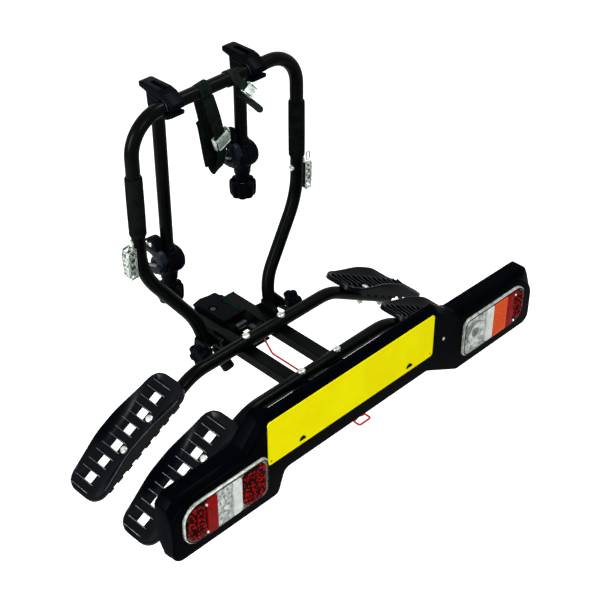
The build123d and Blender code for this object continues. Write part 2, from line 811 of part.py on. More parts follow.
def leg_buckle():
    """The folded steel channel on the outside of the right leg, with ears for the lever's pin."""
    low, high = hoop_y - leg_buckle_half, hoop_y + leg_buckle_half
    body = block(leg_buckle_x, leg_buckle_x + buckle_plate, low, high, leg_buckle_bottom, leg_buckle_top)
    for side in (-1, 1):
        y = hoop_y + side * (leg_buckle_half - buckle_plate / 2)
        ear = block(leg_buckle_x, leg_lever_axis_x + 8, y - buckle_plate / 2, y + buckle_plate / 2,
                    leg_lever_axis_z - 21, leg_lever_axis_z + 13)
        body += ear
    x, z = leg_lever_axis_x, leg_lever_axis_z
    body -= rod_between((x, low - 1, z), (x, high + 1, z), leg_lever_pin + running_fit)
    body -= rod_between((leg_buckle_x - 1, hoop_y, leg_bolt_z), (leg_buckle_x + 5, hoop_y, leg_bolt_z),
                        dome_shank + bolt_hole_gap)
    return body


def leg_lever():
    """The right cam lever: its pin along Y, its cam and a tail that hangs outside the buckle."""
    x, y, z = leg_lever_axis_x, hoop_y, leg_lever_axis_z
    inner = leg_buckle_half - buckle_plate - free_gap
    pin = rod_between((x, y - leg_buckle_half, z), (x, y + leg_buckle_half, z), leg_lever_pin)
    cam = rod_between((x, y - inner, z), (x, y + inner, z), leg_cam_radius)
    tail = block(x + 2, x + 5, y - inner, y + inner, z - leg_lever_length, z)
    lip = block(x + 2, x + 9, y - inner, y + inner, z - leg_lever_length, z - leg_lever_length + 2.5)
    return pin + cam + tail + lip


def side_knob():
    """The right side knob with the stud that is the hoop's hinge pin."""
    y, z = hoop_axis_y, hoop_axis_z
    stud = rod_between((beam_outer + 2, y, z), (side_knob_inner, y, z), stud_radius)
    hub_start = foot_plate_starts[1] + foot_plate + free_gap
    hub = rod_between((hub_start, y, z), (side_knob_inner + 1, y, z), side_hub_radius)
    grip = lobed_prism(side_knob_radius, knob_lobes, side_knob_outer - side_knob_inner)
    grip = Plane(origin=(side_knob_inner, y, z), z_dir=(1, 0, 0)) * grip
    return stud + hub + grip


# Arms

def arm_clamp(x):
    """The T-shaped cap that grips the bar and carries the top of the arm tube."""
    y, z = hoop_y, hoop_top
    outline = [(y - 28, z - 1), (y - 28, z + 11), (y + 4, z + 29), (y + 67, z + 29), (y + 67, z + 12),
               (y + 61, z - 12), (y + 61, z - 40), (y + 25, z - 40), (y + 14, z - 26), (y - 8, z - 24),
               (y - 24, z - 14)]
    radii = [4, 6, 6, 5, 6, 8, 4, 4, 6, 8, 6]
    body = side_plate(outline, x - clamp_width / 2, x + clamp_width / 2, radii)
    reach = clamp_width / 2 + 1
    body -= rod_between((x - reach, y, z), (x + reach, y, z), tube_radius + running_fit)
    body -= rod_between((x, arm_y, z - 50), (x, arm_y, arm_top), arm_radius)
    body -= block(x - 6, x + 6, y + 11, y + 57, z + 21, z + 40)
    return body


def arm_tube(x, hub_z):
    tube = rod_between((x, arm_y, hub_z + arm_seat), (x, arm_y, arm_top), arm_radius)
    return tube - rod_between((x, arm_y, hub_z), (x, arm_y, arm_top + 1), arm_radius - arm_wall)


def arm_hub(x, hub_z):
    """The drum at the arm's lower end, its neck, and the bores for the jaw and the knob's stud."""
    half = hub_width / 2
    drum = rod_between((x - half, arm_y, hub_z), (x + half, arm_y, hub_z), hub_radius)
    drum = chamfer(drum.edges(), 3)
    neck = rod_between((x, arm_y, hub_z - neck_length), (x, arm_y, hub_z), neck_radius)
    body = drum + neck
    body -= rod_between((x, arm_y, hub_z + arm_seat), (x, arm_y, hub_z + 2 * hub_radius), arm_radius)
    body -= rod_between((x - half - 1, arm_y, hub_z), (x - half + pivot_depth, arm_y, hub_z),
                        pivot_radius + running_fit)
    low = hub_z - neck_length
    body -= rod_between((x, arm_y, low - 1), (x, arm_y, low + stud_depth), stud_radius + running_fit)
    return body


def arm_knob(x, hub_z):
    """The hand knob under the hub, with a stud that runs in the neck."""
    top = hub_z - neck_length - free_gap
    grip = lobed_prism(arm_knob_radius, 8, arm_knob_height)
    grip = Plane(origin=(x, arm_y, top), z_dir=(0, 0, -1)) * grip
    return grip + rod_between((x, arm_y, top - 1), (x, arm_y, top + stud_depth - 5), stud_radius)


def jaw(x, hub_z):
    """The frame jaw on the hub's left face: pivot disc, hooked upper arm and its ratchet block."""
    face = x - hub_width / 2 - free_gap
    outer = face - jaw_width
    y, z = arm_y, hub_z
    disc = rod_between((face, y, z), (outer + 6, y, z), jaw_disc)
    pivot = rod_between((face, y, z), (face + pivot_depth - 1, y, z), pivot_radius)
    arm_points = [(y - 30, z + 20), (y - 22, z + 40), (y + 2, z + 52), (y + 34, z + 50), (y + 38, z + 32),
                  (y + 14, z + 29), (y - 8, z + 19), (y - 6, z + 6), (y - 24, z + 2)]
    arm = side_plate(arm_points, outer, face, [8, 10, 10, 4, 4, 10, 6, 4, 6])
    block_points = [(y - 14, z + 48), (y - 10, z + 84), (y + 16, z + 78), (y + 36, z + 62),
                    (y + 36, z + 44)]
    ratchet = side_plate(block_points, outer - 3, face, [4, 6, 6, 6, 4])
    body = disc + arm + ratchet + pivot
    pin_y, pin_z = y + jaw_pin[0], z + jaw_pin[1]
    body -= block(outer - 5, outer + 6.5, pin_y - 13, pin_y + 60, pin_z - 60, pin_z + 9)
    body += rod_between((outer + 9, pin_y, pin_z), (outer - 3, pin_y, pin_z), jaw_pin_radius)
    return body


def jaw_lower(x, hub_z):
    """The ribbed lower jaw that swings on the pin."""
    face = x - hub_width / 2 - free_gap
    outer = face - jaw_width
    y, z = arm_y + jaw_pin[0], hub_z + jaw_pin[1]
    points = [(y - 9, z + 3), (y - 4, z + 8), (y + 6, z + 3), (y + 42, z - 8), (y + 42, z - 18),
              (y + 8, z - 20), (y - 8, z - 10)]
    inner_face = outer + 6 - free_gap
    body = side_plate(points, outer - 4, inner_face, [4, 3, 4, 3, 3, 8, 6])
    for n in range(6):
        rib_y = y + 12 + n * 5
        rib_z = z + 1.4 - n * 5 * 11 / 36
        body += block(outer - 4, inner_face, rib_y - 1.1, rib_y + 1.1, rib_z - 6, rib_z + 1.2)
    body -= rod_between((outer - 5, y, z), (outer + 7, y, z), jaw_pin_radius + running_fit)
    return body


# Straps

def strap_band(start, end, width_dir, width):
    """A flat run of webbing from start to end, width wide along width_dir."""
    run = end - start
    along = run.normalized()
    across = (width_dir - along * width_dir.dot(along)).normalized()
    plane = Plane(origin=start, x_dir=across, z_dir=run)
    return plane * extrude(Rectangle(width, strap_thickness), run.length)


def bar_wrap(x, width):
    """The turn of a strap round the bar, just clear of the tube."""
    inner = tube_radius + strap_gap
    left, right = (x - width / 2, hoop_y, hoop_top), (x + width / 2, hoop_y, hoop_top)
    ring = rod_between(left, right, inner + strap_thickness)
    return ring - rod_between((x - width, hoop_y, hoop_top), (x + width, hoop_y, hoop_top), inner)


wide_buckle = Vector(*wide_buckle_at)
wrap_middle = tube_radius + strap_gap + strap_thickness / 2
wide_start = Vector(wide_strap_x + 4, hoop_y - wrap_middle, hoop_top - 10)
wide_run = (wide_buckle - wide_start).normalized()


def strap_wide():
    """The wide strap: its turn round the bar, its run to the buckle and the loop that hangs below."""
    body = bar_wrap(wide_strap_x, wide_strap)
    across = buckle_plane(wide_buckle, wide_run).x_dir
    end = wide_buckle + wide_run * 30
    body += strap_band(wide_start, end, across, wide_strap)
    body += strap_band(end - wide_run, Vector(*wide_loop_at), across, wide_strap)
    return body


def strap_wide_buckle():
    """The cast frame of the wide strap's cam buckle, open at both ends for the webbing."""
    plane = buckle_plane(wide_buckle, wide_run)
    frame = plane * (Pos(0, 4, 0) * Box(40, 14, 44))
    tunnel = plane * (Pos(0, 5, 0) * Box(32, 12.8, 60))
    pin_hole = plane * (Pos(0, 6, 12) * Rot(0, 90, 0) * Cylinder(2 + running_fit, 60))
    return frame - tunnel - pin_hole


def strap_wide_lever():
    plane = buckle_plane(wide_buckle, wide_run)
    pin = Pos(0, 6, 12) * Rot(0, 90, 0) * Cylinder(2, 40)
    plate = Pos(0, 9.5, -4) * Box(30, 3, 34)
    cam = Pos(0, 6, 12) * Rot(0, 90, 0) * Cylinder(4.4, 30)
    return plane * (pin + plate + cam)


def buckle_plane(centre, run):
    """A plane whose Z is against the strap's run and whose Y points away from the webbing, to the rear."""
    up = run * -1
    side = Vector(0, -1, 0).cross(up).normalized()
    return Plane(origin=centre, x_dir=side, z_dir=up)


narrow_buckle = Vector(*narrow_buckle_at)
narrow_start = Vector(narrow_strap_x + 4, hoop_y - wrap_middle - strap_thickness / 2, hoop_top + 2)
narrow_run = (narrow_buckle - narrow_start).normalized()


def strap_narrow():
    body = bar_wrap(narrow_strap_x, narrow_strap)
    across = buckle_plane(narrow_buckle, narrow_run).x_dir
    end = narrow_buckle + narrow_run * 18
    body += strap_band(narrow_start, end, across, narrow_strap)
    body += strap_band(end - narrow_run, Vector(*narrow_tail_at), across, narrow_strap)
    return body


def strap_narrow_buckle():
    plane = buckle_plane(narrow_buckle, narrow_run)
    frame = plane * (Pos(0, 3, 0) * Box(26, 12, 26))
    tunnel = plane * (Pos(0, 4.2, 0) * Box(21, 11, 40))
    pin_hole = plane * (Pos(0, 5, 7) * Rot(0, 90, 0) * Cylinder(1.5 + running_fit, 40))
    return frame - tunnel - pin_hole


def strap_narrow_lever():
    plane = buckle_plane(narrow_buckle, narrow_run)
    pin = Pos(0, 5, 7) * Rot(0, 90, 0) * Cylinder(1.5, 26)
    plate = Pos(0, 7.6, -3) * Box(19, 2.4, 20)
    cam = Pos(0, 5, 7) * Rot(0, 90, 0) * Cylinder(3.4, 19)
    return plane * (pin + plate + cam)


def main():
    os.makedirs("parts", exist_ok=True)
    save("coupler_housing", coupler_housing())
    save("ball_cup", ball_cup())
    save("clamp_bolts", clamp_bolts())
    save("coupler_cover", coupler_cover())
    save("tilt_spacer", tilt_spacer())
    save("beam_right", beam())
    save("beam_left", mirrored(beam()))
    save("front_cross_tube", cross_tube(front_tube_y))
    save("rear_cross_tube", cross_tube(rear_tube_y))
    save("dome_bolts", dome_bolts())
    save("lock_nuts", lock_nuts())
    for name, y in (("front", front_tube_y), ("rear", rear_tube_y)):
        left = tray(y)
        save(f"tray_{name}_left", left)
        save(f"tray_{name}_right", mirrored(left))
    save("end_plugs", end_plugs())
    save("tilt_bolt", tilt_bolt())
    save("hoop_bracket_right", hoop_bracket())
    save("hoop_bracket_left", left_hoop_bracket())
    save("stop_foot", stop_foot())
    save("rod_guide", rod_guide())
    save("light_board", light_board())
    save("board_bracket", board_bracket())
    save("board_screws", board_screws())
    save("number_plate", number_plate())
    save("plate_clips", plate_clips())
    save("lamp_housing_left", lamp_housing())
    save("lamp_housing_right", right_lamp_housing())
    left_ends = [left_lamp_start + s for s in (0, *left_lens_splits, lamp_length)]
    right_ends = [right_lamp_start + s for s in (0, *right_lens_splits, lamp_length)]
    left = [lens(a, b) for a, b in zip(left_ends, left_ends[1:])]
    right = [right_lens(a, b) for a, b in zip(right_ends, right_ends[1:])]
    save("red_lenses", left[0] + left[1] + left[3] + right[2] + right[3])
    save("clear_lenses", left[2] + right[0])
    save("amber_lens", right[1])
    save("release_rod", release_rod())
    save("release_latch", release_latch())
    save("hoop_tube", hoop_tube())
    save("foam_grip_right", foam_grip())
    save("foam_grip_left", mirrored(foam_grip()))
    save("leg_bolts", leg_bolts())
    save("leg_buckles", leg_buckle() + mirrored(leg_buckle()))
    save("leg_lever_right", leg_lever())
    save("leg_lever_left", mirrored(leg_lever()))
    save("side_knob_right", side_knob())
    save("side_knob_left", mirrored(side_knob()))
    for name, x, hub_z in (("left", left_arm_x, left_hub_z), ("right", right_arm_x, right_hub_z)):
        save(f"arm_clamp_{name}", arm_clamp(x))
        save(f"arm_tube_{name}", arm_tube(x, hub_z))
        save(f"arm_hub_{name}", arm_hub(x, hub_z))
        save(f"arm_knob_{name}", arm_knob(x, hub_z))
        save(f"jaw_{name}", jaw(x, hub_z))
        save(f"jaw_lower_{name}", jaw_lower(x, hub_z))
    save("strap_wide", strap_wide())
    save("strap_wide_buckle", strap_wide_buckle())
    save("strap_wide_lever", strap_wide_lever())
    save("strap_narrow", strap_narrow())
    save("strap_narrow_buckle", strap_narrow_buckle())
    save("strap_narrow_lever", strap_narrow_lever())


main()
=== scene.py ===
import json
from math import atan2, cos, pi, radians, sin, sqrt, tan
import bmesh
import bpy
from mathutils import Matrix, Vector


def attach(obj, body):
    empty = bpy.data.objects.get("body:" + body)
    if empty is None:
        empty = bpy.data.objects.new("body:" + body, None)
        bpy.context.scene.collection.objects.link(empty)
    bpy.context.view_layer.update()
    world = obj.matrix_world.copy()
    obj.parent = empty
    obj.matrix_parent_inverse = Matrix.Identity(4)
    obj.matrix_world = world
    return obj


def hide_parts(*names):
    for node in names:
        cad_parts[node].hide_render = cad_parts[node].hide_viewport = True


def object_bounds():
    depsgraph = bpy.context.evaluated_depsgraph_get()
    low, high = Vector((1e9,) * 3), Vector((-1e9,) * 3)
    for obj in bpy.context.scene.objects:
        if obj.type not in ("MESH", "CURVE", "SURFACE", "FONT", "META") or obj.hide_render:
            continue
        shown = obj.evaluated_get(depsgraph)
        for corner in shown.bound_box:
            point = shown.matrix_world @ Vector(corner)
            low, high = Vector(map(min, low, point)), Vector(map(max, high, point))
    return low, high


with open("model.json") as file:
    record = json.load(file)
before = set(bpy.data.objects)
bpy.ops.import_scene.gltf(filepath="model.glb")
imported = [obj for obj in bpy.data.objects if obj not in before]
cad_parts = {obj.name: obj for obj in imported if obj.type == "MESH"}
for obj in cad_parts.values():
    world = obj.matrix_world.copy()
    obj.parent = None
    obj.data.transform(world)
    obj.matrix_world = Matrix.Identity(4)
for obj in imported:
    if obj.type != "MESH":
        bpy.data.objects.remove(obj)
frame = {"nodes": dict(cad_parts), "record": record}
cad_low, cad_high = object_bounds()

# %% [markdown]
# # A tow-ball bike rack
# The rack's tubes, bolts and brackets come from its construction model, which stays as it is and gets its
# finishes here. The moulded pieces, the straps and the lamps are modelled in this script at the same places.
# The sizes of all pieces are millimetres, and one factor turns them into Blender's metres. The studio round
# them is in metres.

# %% Millimetres and the camera
MM = 0.001
camera_place = Vector((-1691.7, -1965.5, 1948.0)) * MM
camera_pitch = 36.4
camera_yaw = 45.0
focal_length_px = 1328.0
frame_px = 600.0
sensor_mm = 36.0

camera_data = bpy.data.cameras.new("studio_camera")
camera_data.sensor_width = sensor_mm
camera_data.lens = focal_length_px / frame_px * sensor_mm
camera_data.clip_end = 50.0
camera = bpy.data.objects.new("studio_camera", camera_data)
camera.location = camera_place
camera.rotation_euler = (radians(90 - camera_pitch), 0, radians(-camera_yaw))
bpy.context.scene.collection.objects.link(camera)
bpy.context.scene.camera = camera
print("camera: lens", round(camera_data.lens, 1), "mm")

# %% [markdown]
# A black product needs few but well-placed lights. Diffuse light shows hardly anything of a black part, so
# what the eye reads are the reflections along tubes and rounded edges. A tall lamp at the left makes those
# along the hoop's legs, one overhead and one in front light the trays and the yellow plate, a weak one behind
# lifts the far edges, and the world fills the rest. The floor is white paper that glows a little where the
# camera sees it, straight or through glass, while reflections and the light itself meet the plain paper.

# %% Studio
floor_drop = 0.30
floor_half = 9.0


def linear(hex_code):
    """An sRGB hex colour as the linear colour that shaders use."""
    channels = [int(hex_code[i:i + 2], 16) / 255 for i in (1, 3, 5)]
    return [c / 12.92 if c <= 0.04045 else ((c + 0.055) / 1.055) ** 2.4 for c in channels] + [1.0]


def add(tree, kind, inputs=None, **settings):
    """Adds one node; inputs maps a socket to a value or to another node's output."""
    node = tree.nodes.new(kind)
    for name, value in settings.items():
        setattr(node, name, value)
    for socket, value in (inputs or {}).items():
        if isinstance(value, bpy.types.NodeSocket):
            tree.links.new(value, node.inputs[socket])
        else:
            node.inputs[socket].default_value = value
    return node


def empty_tree(owner):
    """The node tree of a world or a material, without the nodes that come with it."""
    owner.use_nodes = True
    owner.node_tree.nodes.clear()
    return owner.node_tree


def either(tree, first, second):
    """1 where at least one of two yes-or-no values is 1."""
    return add(tree, "ShaderNodeMath", {0: first, 1: second}, operation="MAXIMUM").outputs[0]


def area_lamp(name, place, target, size, power):
    data = bpy.data.lights.new(name, "AREA")
    data.shape = "RECTANGLE"
    data.size, data.size_y = size
    data.energy = power
    lamp = bpy.data.objects.new(name, data)
    lamp.location = place
    lamp.rotation_euler = (Vector(target) - Vector(place)).to_track_quat("-Z", "Y").to_euler()
    bpy.context.scene.collection.objects.link(lamp)


world = bpy.data.worlds.new("studio_world")
bpy.context.scene.world = world
tree = empty_tree(world)
fill = add(tree, "ShaderNodeBackground", {"Color": linear("#F4F6F8"), "Strength": 0.3})
backdrop = add(tree, "ShaderNodeBackground", {"Color": linear("#FFFFFF"), "Strength": 1.0})
path = add(tree, "ShaderNodeLightPath")
mirrored = either(tree, path.outputs["Is Camera Ray"], path.outputs["Is Glossy Ray"])
seen = either(tree, mirrored, path.outputs["Is Transmission Ray"])
mixed = add(tree, "ShaderNodeMixShader", {0: seen, 1: fill.outputs[0], 2: backdrop.outputs[0]})
add(tree, "ShaderNodeOutputWorld", {0: mixed.outputs[0]})

floor_material = bpy.data.materials.new("white_studio_paper")
tree = empty_tree(floor_material)
paper = add(tree, "ShaderNodeBsdfDiffuse", {"Color": linear("#E8E8E8")})
glow = add(tree, "ShaderNodeEmission", {"Color": linear("#FFFFFF"), "Strength": 0.75})
lit = add(tree, "ShaderNodeAddShader", {0: paper.outputs[0], 1: glow.outputs[0]})
path = add(tree, "ShaderNodeLightPath")
seen = either(tree, path.outputs["Is Camera Ray"], path.outputs["Is Transmission Ray"])
mixed = add(tree, "ShaderNodeMixShader", {0: seen, 1: paper.outputs[0], 2: lit.outputs[0]})
add(tree, "ShaderNodeOutputMaterial", {0: mixed.outputs[0]})

floor_z = cad_low[2] - floor_drop
floor_mesh = bpy.data.meshes.new("studio_floor")
corners = [(x * floor_half, y * floor_half, floor_z) for x, y in ((-1, -1), (1, -1), (1, 1), (-1, 1))]
floor_mesh.from_pydata(corners, [], [(0, 1, 2, 3)])
floor_mesh.materials.append(floor_material)
studio_floor = bpy.data.objects.new("studio_floor", floor_mesh)
bpy.context.scene.collection.objects.link(studio_floor)

area_lamp("top_softbox", (1.3, -0.9, 3.3), (-0.1, -0.15, 0.0), (1.0, 0.8), 66)
area_lamp("left_softbox", (-3.0, 0.1, 1.3), (0, -0.2, 0.15), (0.9, 1.7), 120)
area_lamp("front_softbox", (-0.9, -3.2, 2.3), (0, -0.3, 0.1), (0.5, 0.4), 36)
area_lamp("back_softbox", (1.4, 2.6, 1.9), (0, -0.1, 0.3), (0.8, 0.5), 8)
bpy.context.scene.view_settings.view_transform = "Standard"
print("studio: floor at", round(floor_z, 3), "m")

# %% [markdown]
# ## Finishes
# Every finish has a colour that drifts a little, a roughness that isn't even, and a bump at the size of the
# real grain. One function builds that common base, and each material adds what only it has.

# %% A common base for the finishes


def new_material(name):
    material = bpy.data.materials.new(name)
    return material, empty_tree(material)


def object_place(tree):
    """The object's own coordinates, in metres."""
    return add(tree, "ShaderNodeTexCoord").outputs["Object"]


def noise_at(tree, size_mm, detail=3.0, stretch=(1, 1, 1)):
    """Noise whose blotches are about size_mm across, read from the object's own coordinates."""
    scaled = add(tree, "ShaderNodeMapping", {"Vector": object_place(tree), "Scale": stretch})
    return add(tree, "ShaderNodeTexNoise",
               {"Vector": scaled.outputs[0], "Scale": 1 / (size_mm * MM), "Detail": detail}).outputs["Fac"]


def wave(tree, vector, pitch, direction, distortion=0.0):
    """Parallel ribs at a pitch in the vector's units; at scale 1 a wave turns by 20 radians in one unit."""
    return add(tree, "ShaderNodeTexWave",
               {"Vector": vector, "Scale": 2 * pi / (20 * pitch), "Distortion": distortion},
               bands_direction=direction).outputs["Fac"]


def between(tree, factor, low, high, from_low=0.35, from_high=0.65):
    return add(tree, "ShaderNodeMapRange", {"Value": factor, "From Min": from_low, "From Max": from_high,
                                            "To Min": low, "To Max": high}).outputs[0]


def bump(tree, height, depth_mm):
    """Turns a height of 0 to 1 into a relief depth_mm deep."""
    return add(tree, "ShaderNodeBump",
               {"Height": height, "Distance": depth_mm * MM, "Strength": 1.0}).outputs[0]


def base_finish(tree, colours, roughness, grain_mm, depth_mm, patch_mm=70.0, stretch=(1, 1, 1), **sockets):
    """Principled shader with drifting colour, uneven roughness and a fine grain; returns the shader."""
    patches = noise_at(tree, patch_mm)
    dark, light = (linear(c) for c in colours)
    colour = add(tree, "ShaderNodeMix", {"Factor": between(tree, patches, 0, 1), 6: dark, 7: light},
                 data_type="RGBA")
    grain = noise_at(tree, grain_mm, 2.0, stretch)
    shader = add(tree, "ShaderNodeBsdfPrincipled",
                 {"Base Color": colour.outputs[2],
                  "Roughness": between(tree, grain, roughness[0], roughness[1], 0.3, 0.7),
                  "Normal": bump(tree, grain, depth_mm), **sockets})
    add(tree, "ShaderNodeOutputMaterial", {0: shader.outputs[0]})
    return shader


def plain_finish(name, *base, specular=0.5, coat=0.0, **sockets):
    """A material that is the common base alone."""
    material, tree = new_material(name)
    base_finish(tree, *base, **{"Specular IOR Level": specular, "Coat Weight": coat}, **sockets)
    return material


print("the darkest paint reflects", round(100 * linear("#010302")[1], 2), "% of the light")

# %% [markdown]
# The steel tubes are powder-coated: a thick satin skin with a soft orange peel about two millimetres across.
# The trays are moulded polypropylene, a little bluish in the light, and the clamps, hubs and knobs are nylon.
# All of them are nearly black, so their specular levels are low, and what lights them comes from the lamps.

# %% Paint and plastics


def powder_coat():
    return plain_finish("powder_coated_steel", ("#010302", "#040605"), (0.25, 0.29), 2.4, 0.006,
                        specular=0.034)


def cast_coat():
    return plain_finish("powder_coated_casting", ("#020303", "#060707"), (0.38, 0.52), 1.6, 0.06,
                        specular=0.008)


def satin_polypropylene():
    return plain_finish("satin_polypropylene", ("#020407", "#05080D"), (0.22, 0.28), 1.4, 0.01, specular=0.06)


def burnished_edge():
    """The thin edges of the fins and the near rim, paler than the trays' faces: a painted highlight."""
    return plain_finish("burnished_edge", ("#232A30", "#39424A"), (0.24, 0.32), 1.4, 0.01, 12.0, specular=0.3)


def board_abs():
    return plain_finish("moulded_abs", ("#000103", "#020306"), (0.26, 0.34), 1.2, 0.01, specular=0.006)


def glass_filled_nylon():
    return plain_finish("glass_filled_nylon", ("#010306", "#05080E"), (0.28, 0.4), 1.0, 0.03, specular=0.012)


def foam_rubber():
    """Closed-cell foam: pores about two millimetres across that swallow the light."""
    material, tree = new_material("closed_cell_foam")
    shader = base_finish(tree, ("#050807", "#0D110F"), (0.82, 0.95), 1.3, 0.25, 25.0,
                         **{"Specular IOR Level": 0.02})
    pores = add(tree, "ShaderNodeTexVoronoi", {"Vector": object_place(tree), "Scale": 1 / (2.2 * MM)})
    tree.links.new(bump(tree, pores.outputs["Distance"], 0.3), shader.inputs["Normal"])
    return material


def moulded_rubber():
    return plain_finish("moulded_rubber", ("#040505", "#0A0C0B"), (0.5, 0.66), 1.5, 0.08, 20.0, specular=0.04)


def gloss_enamel():
    return plain_finish("red_enamel", ("#C40A1C", "#E01428"), (0.18, 0.28), 3.0, 0.02, 25.0, coat=0.5)


finishes = {
    "black_steel": powder_coat(), "cast_housing": cast_coat(), "black_plastic": glass_filled_nylon(),
    "tray_plastic": satin_polypropylene(), "board_plastic": board_abs(), "foam": foam_rubber(),
    "rubber": moulded_rubber(), "red_paint": gloss_enamel(),
}
tray_highlight_edge = burnished_edge()
print("paint and plastics:", ", ".join(finishes))

# %% [markdown]
# Zinc plating is a bright metal with a faint crystalline bloom, so its colour drifts between a darker and a
# lighter grey. The pressed buckles are polished along their length before plating.

# %% Metals


def zinc_plate():
    return plain_finish("zinc_plated_steel", ("#9FA89F", "#E6EEE4"), (0.22, 0.42), 1.8, 0.04, 9.0,
                        Metallic=0.85)


def polished_zinc():
    return plain_finish("polished_zinc_pressing", ("#A7B4AA", "#DDE8DD"), (0.22, 0.3), 0.8, 0.01, 7.0,
                        (1, 1, 6), Metallic=0.8)


def dark_steel_and_shade():
    """Nearly black steel: painted shade on the coupler's bolts and spacers, and the colour of small dark
    parts.
    """
    return plain_finish("phosphated_steel", ("#080B0D", "#1A2024"), (0.3, 0.45), 1.6, 0.03, 9.0, Metallic=0.6)


finishes["bright_steel"] = zinc_plate()
polished_steel = polished_zinc()
dark_and_shaded_steel = dark_steel_and_shade()
print("metals:", finishes["bright_steel"].name, polished_steel.name, dark_and_shaded_steel.name)

# %% [markdown]
# The plate is a retroreflective sheet, an even yellow with tiny beads under a clear skin. The lamp lenses
# are coloured acrylic with prisms on their inner side, whose glints and shade are painted into their colour
# as a fine lattice of light and dark. Inside the lamps are a white base and chromed reflectors, under a thin
# clear cover.

# %% Plate and lenses


def reflective_sheet():
    return plain_finish("retroreflective_sheet", ("#F8EC00", "#FDF400"), (0.36, 0.46), 0.8, 0.01, 60.0,
                        specular=0.005)


def prism_acrylic_painted_glints(name, dark, light, prism_mm, depth_mm):
    """Coloured acrylic: the glints and shade of its prisms are painted in as a lattice of light and dark."""
    material, tree = new_material(name)
    shader = base_finish(tree, (dark, light), (0.12, 0.2), 2.0, 0.02, 12.0, **{"Specular IOR Level": 0.03})
    lattice = add(tree, "ShaderNodeTexVoronoi", {"Vector": object_place(tree), "Scale": 1 / (prism_mm * MM)},
                  distance="CHEBYCHEV")
    # Painted highlight and shade: light and dark cells of the prism lattice in the base colour.
    shade = add(tree, "ShaderNodeMix", {"Factor": between(tree, lattice.outputs["Distance"], 0, 1, 0.0, 0.42),
                                        6: linear(light), 7: linear(dark)}, data_type="RGBA")
    tree.links.new(shade.outputs[2], shader.inputs["Base Color"])
    tree.links.new(bump(tree, lattice.outputs["Distance"], depth_mm), shader.inputs["Normal"])
    return material


def lens_red():
    """Red acrylic without prisms, an even dark red."""
    return plain_finish("red_acrylic_plain", ("#7A0002", "#980203"), (0.14, 0.22), 3.0, 0.02, 14.0,
                        specular=0.03)


def clear_cover():
    """The thin cover of the clear parts: nearly all light passes, and only its gloss is seen."""
    return plain_finish("clear_acrylic_cover", ("#F2F6F3", "#FFFFFF"), (0.04, 0.08), 4.0, 0.02, 15.0,
                        Alpha=0.1)


def lamp_white():
    return plain_finish("white_abs_reflector_base", ("#C9CFC8", "#E4E9E2"), (0.25, 0.4), 2.0, 0.03, 12.0,
                        coat=0.6)


def bright_rim_plastic():
    return plain_finish("pale_polycarbonate", ("#7D887E", "#C4CCC2"), (0.12, 0.25), 3.0, 0.03, 9.0, coat=0.5)


def vacuum_chrome():
    return plain_finish("vacuum_chromed_plastic", ("#8C978F", "#DCE3DE"), (0.22, 0.34), 9.0, 0.02, 14.0,
                        Metallic=0.7)


finishes["yellow_sheet"] = reflective_sheet()
finishes["lamp_body"] = bright_rim_plastic()
finishes["red_lens"] = prism_acrylic_painted_glints("red_acrylic", "#1A0000", "#EE0408", 7.0, 0.6)
finishes["amber_lens"] = prism_acrylic_painted_glints("amber_acrylic", "#E2501F", "#F26B38", 5.0, 0.3)
finishes["clear_lens"] = clear_cover()
plain_red, white_base, chrome_reflector = lens_red(), lamp_white(), vacuum_chrome()
print("plate and lenses:", finishes["yellow_sheet"].name, "and", chrome_reflector.name)

# %% [markdown]
# Webbing is woven polyester. Its ribs lie across the strap, so the pattern follows the strap's own length,
# which each strap carries as a UV map: U counts millimetres across and V millimetres along.

# %% Webbing
rib_mm, yarn_mm = 1.6, 2.6


def woven_webbing(name, dark, light):
    material, tree = new_material(name)
    shader = base_finish(tree, (dark, light), (0.62, 0.8), 0.7, 0.05, 18.0, **{"Specular IOR Level": 0.03})
    uv = add(tree, "ShaderNodeUVMap").outputs[0]
    across, along = wave(tree, uv, rib_mm, "Y", 0.6), wave(tree, uv, yarn_mm, "X")
    weave = add(tree, "ShaderNodeMath", {0: across, 1: along}, operation="MULTIPLY")
    tree.links.new(bump(tree, weave.outputs[0], 0.5), shader.inputs["Normal"])
    return material


finishes["webbing"] = woven_webbing("green_black_webbing", "#060C09", "#101A15")
narrow_webbing = woven_webbing("grey_webbing", "#0C1210", "#19211E")

slot_of_node = {row["node"]: row["material_slot"] for row in frame["record"]["subparts"]}
# The coupler's plated bolts, spacer and latch sit in its recesses and under its cover; their nearly black
# finish is painted shade.
shaded_coupler_nodes = ("clamp_bolts", "tilt_spacer", "tilt_bolt", "release_latch")
for node_name, node_object in frame["nodes"].items():
    node_object.data.materials.clear()
    node_object.data.materials.append(
        dark_and_shaded_steel if node_name in shaded_coupler_nodes else finishes[slot_of_node[node_name]])
print("finishes:", len(finishes), "slots,", len(bpy.data.materials), "materials")

# %% [markdown]
# ## Helpers for the moulded pieces
# A moulded part is mostly one outline with rounded corners, given some depth and softly broken edges. So a
# shape here is a list of points and a list of faces in millimetres, and a few functions make the common ones:
# an outline with arcs, a stack of rings, a lathe turn and a swept bar. Shapes are joined before they become a
# Blender mesh, so each piece of the rack is one object.

# %% Outlines and stacks of rings


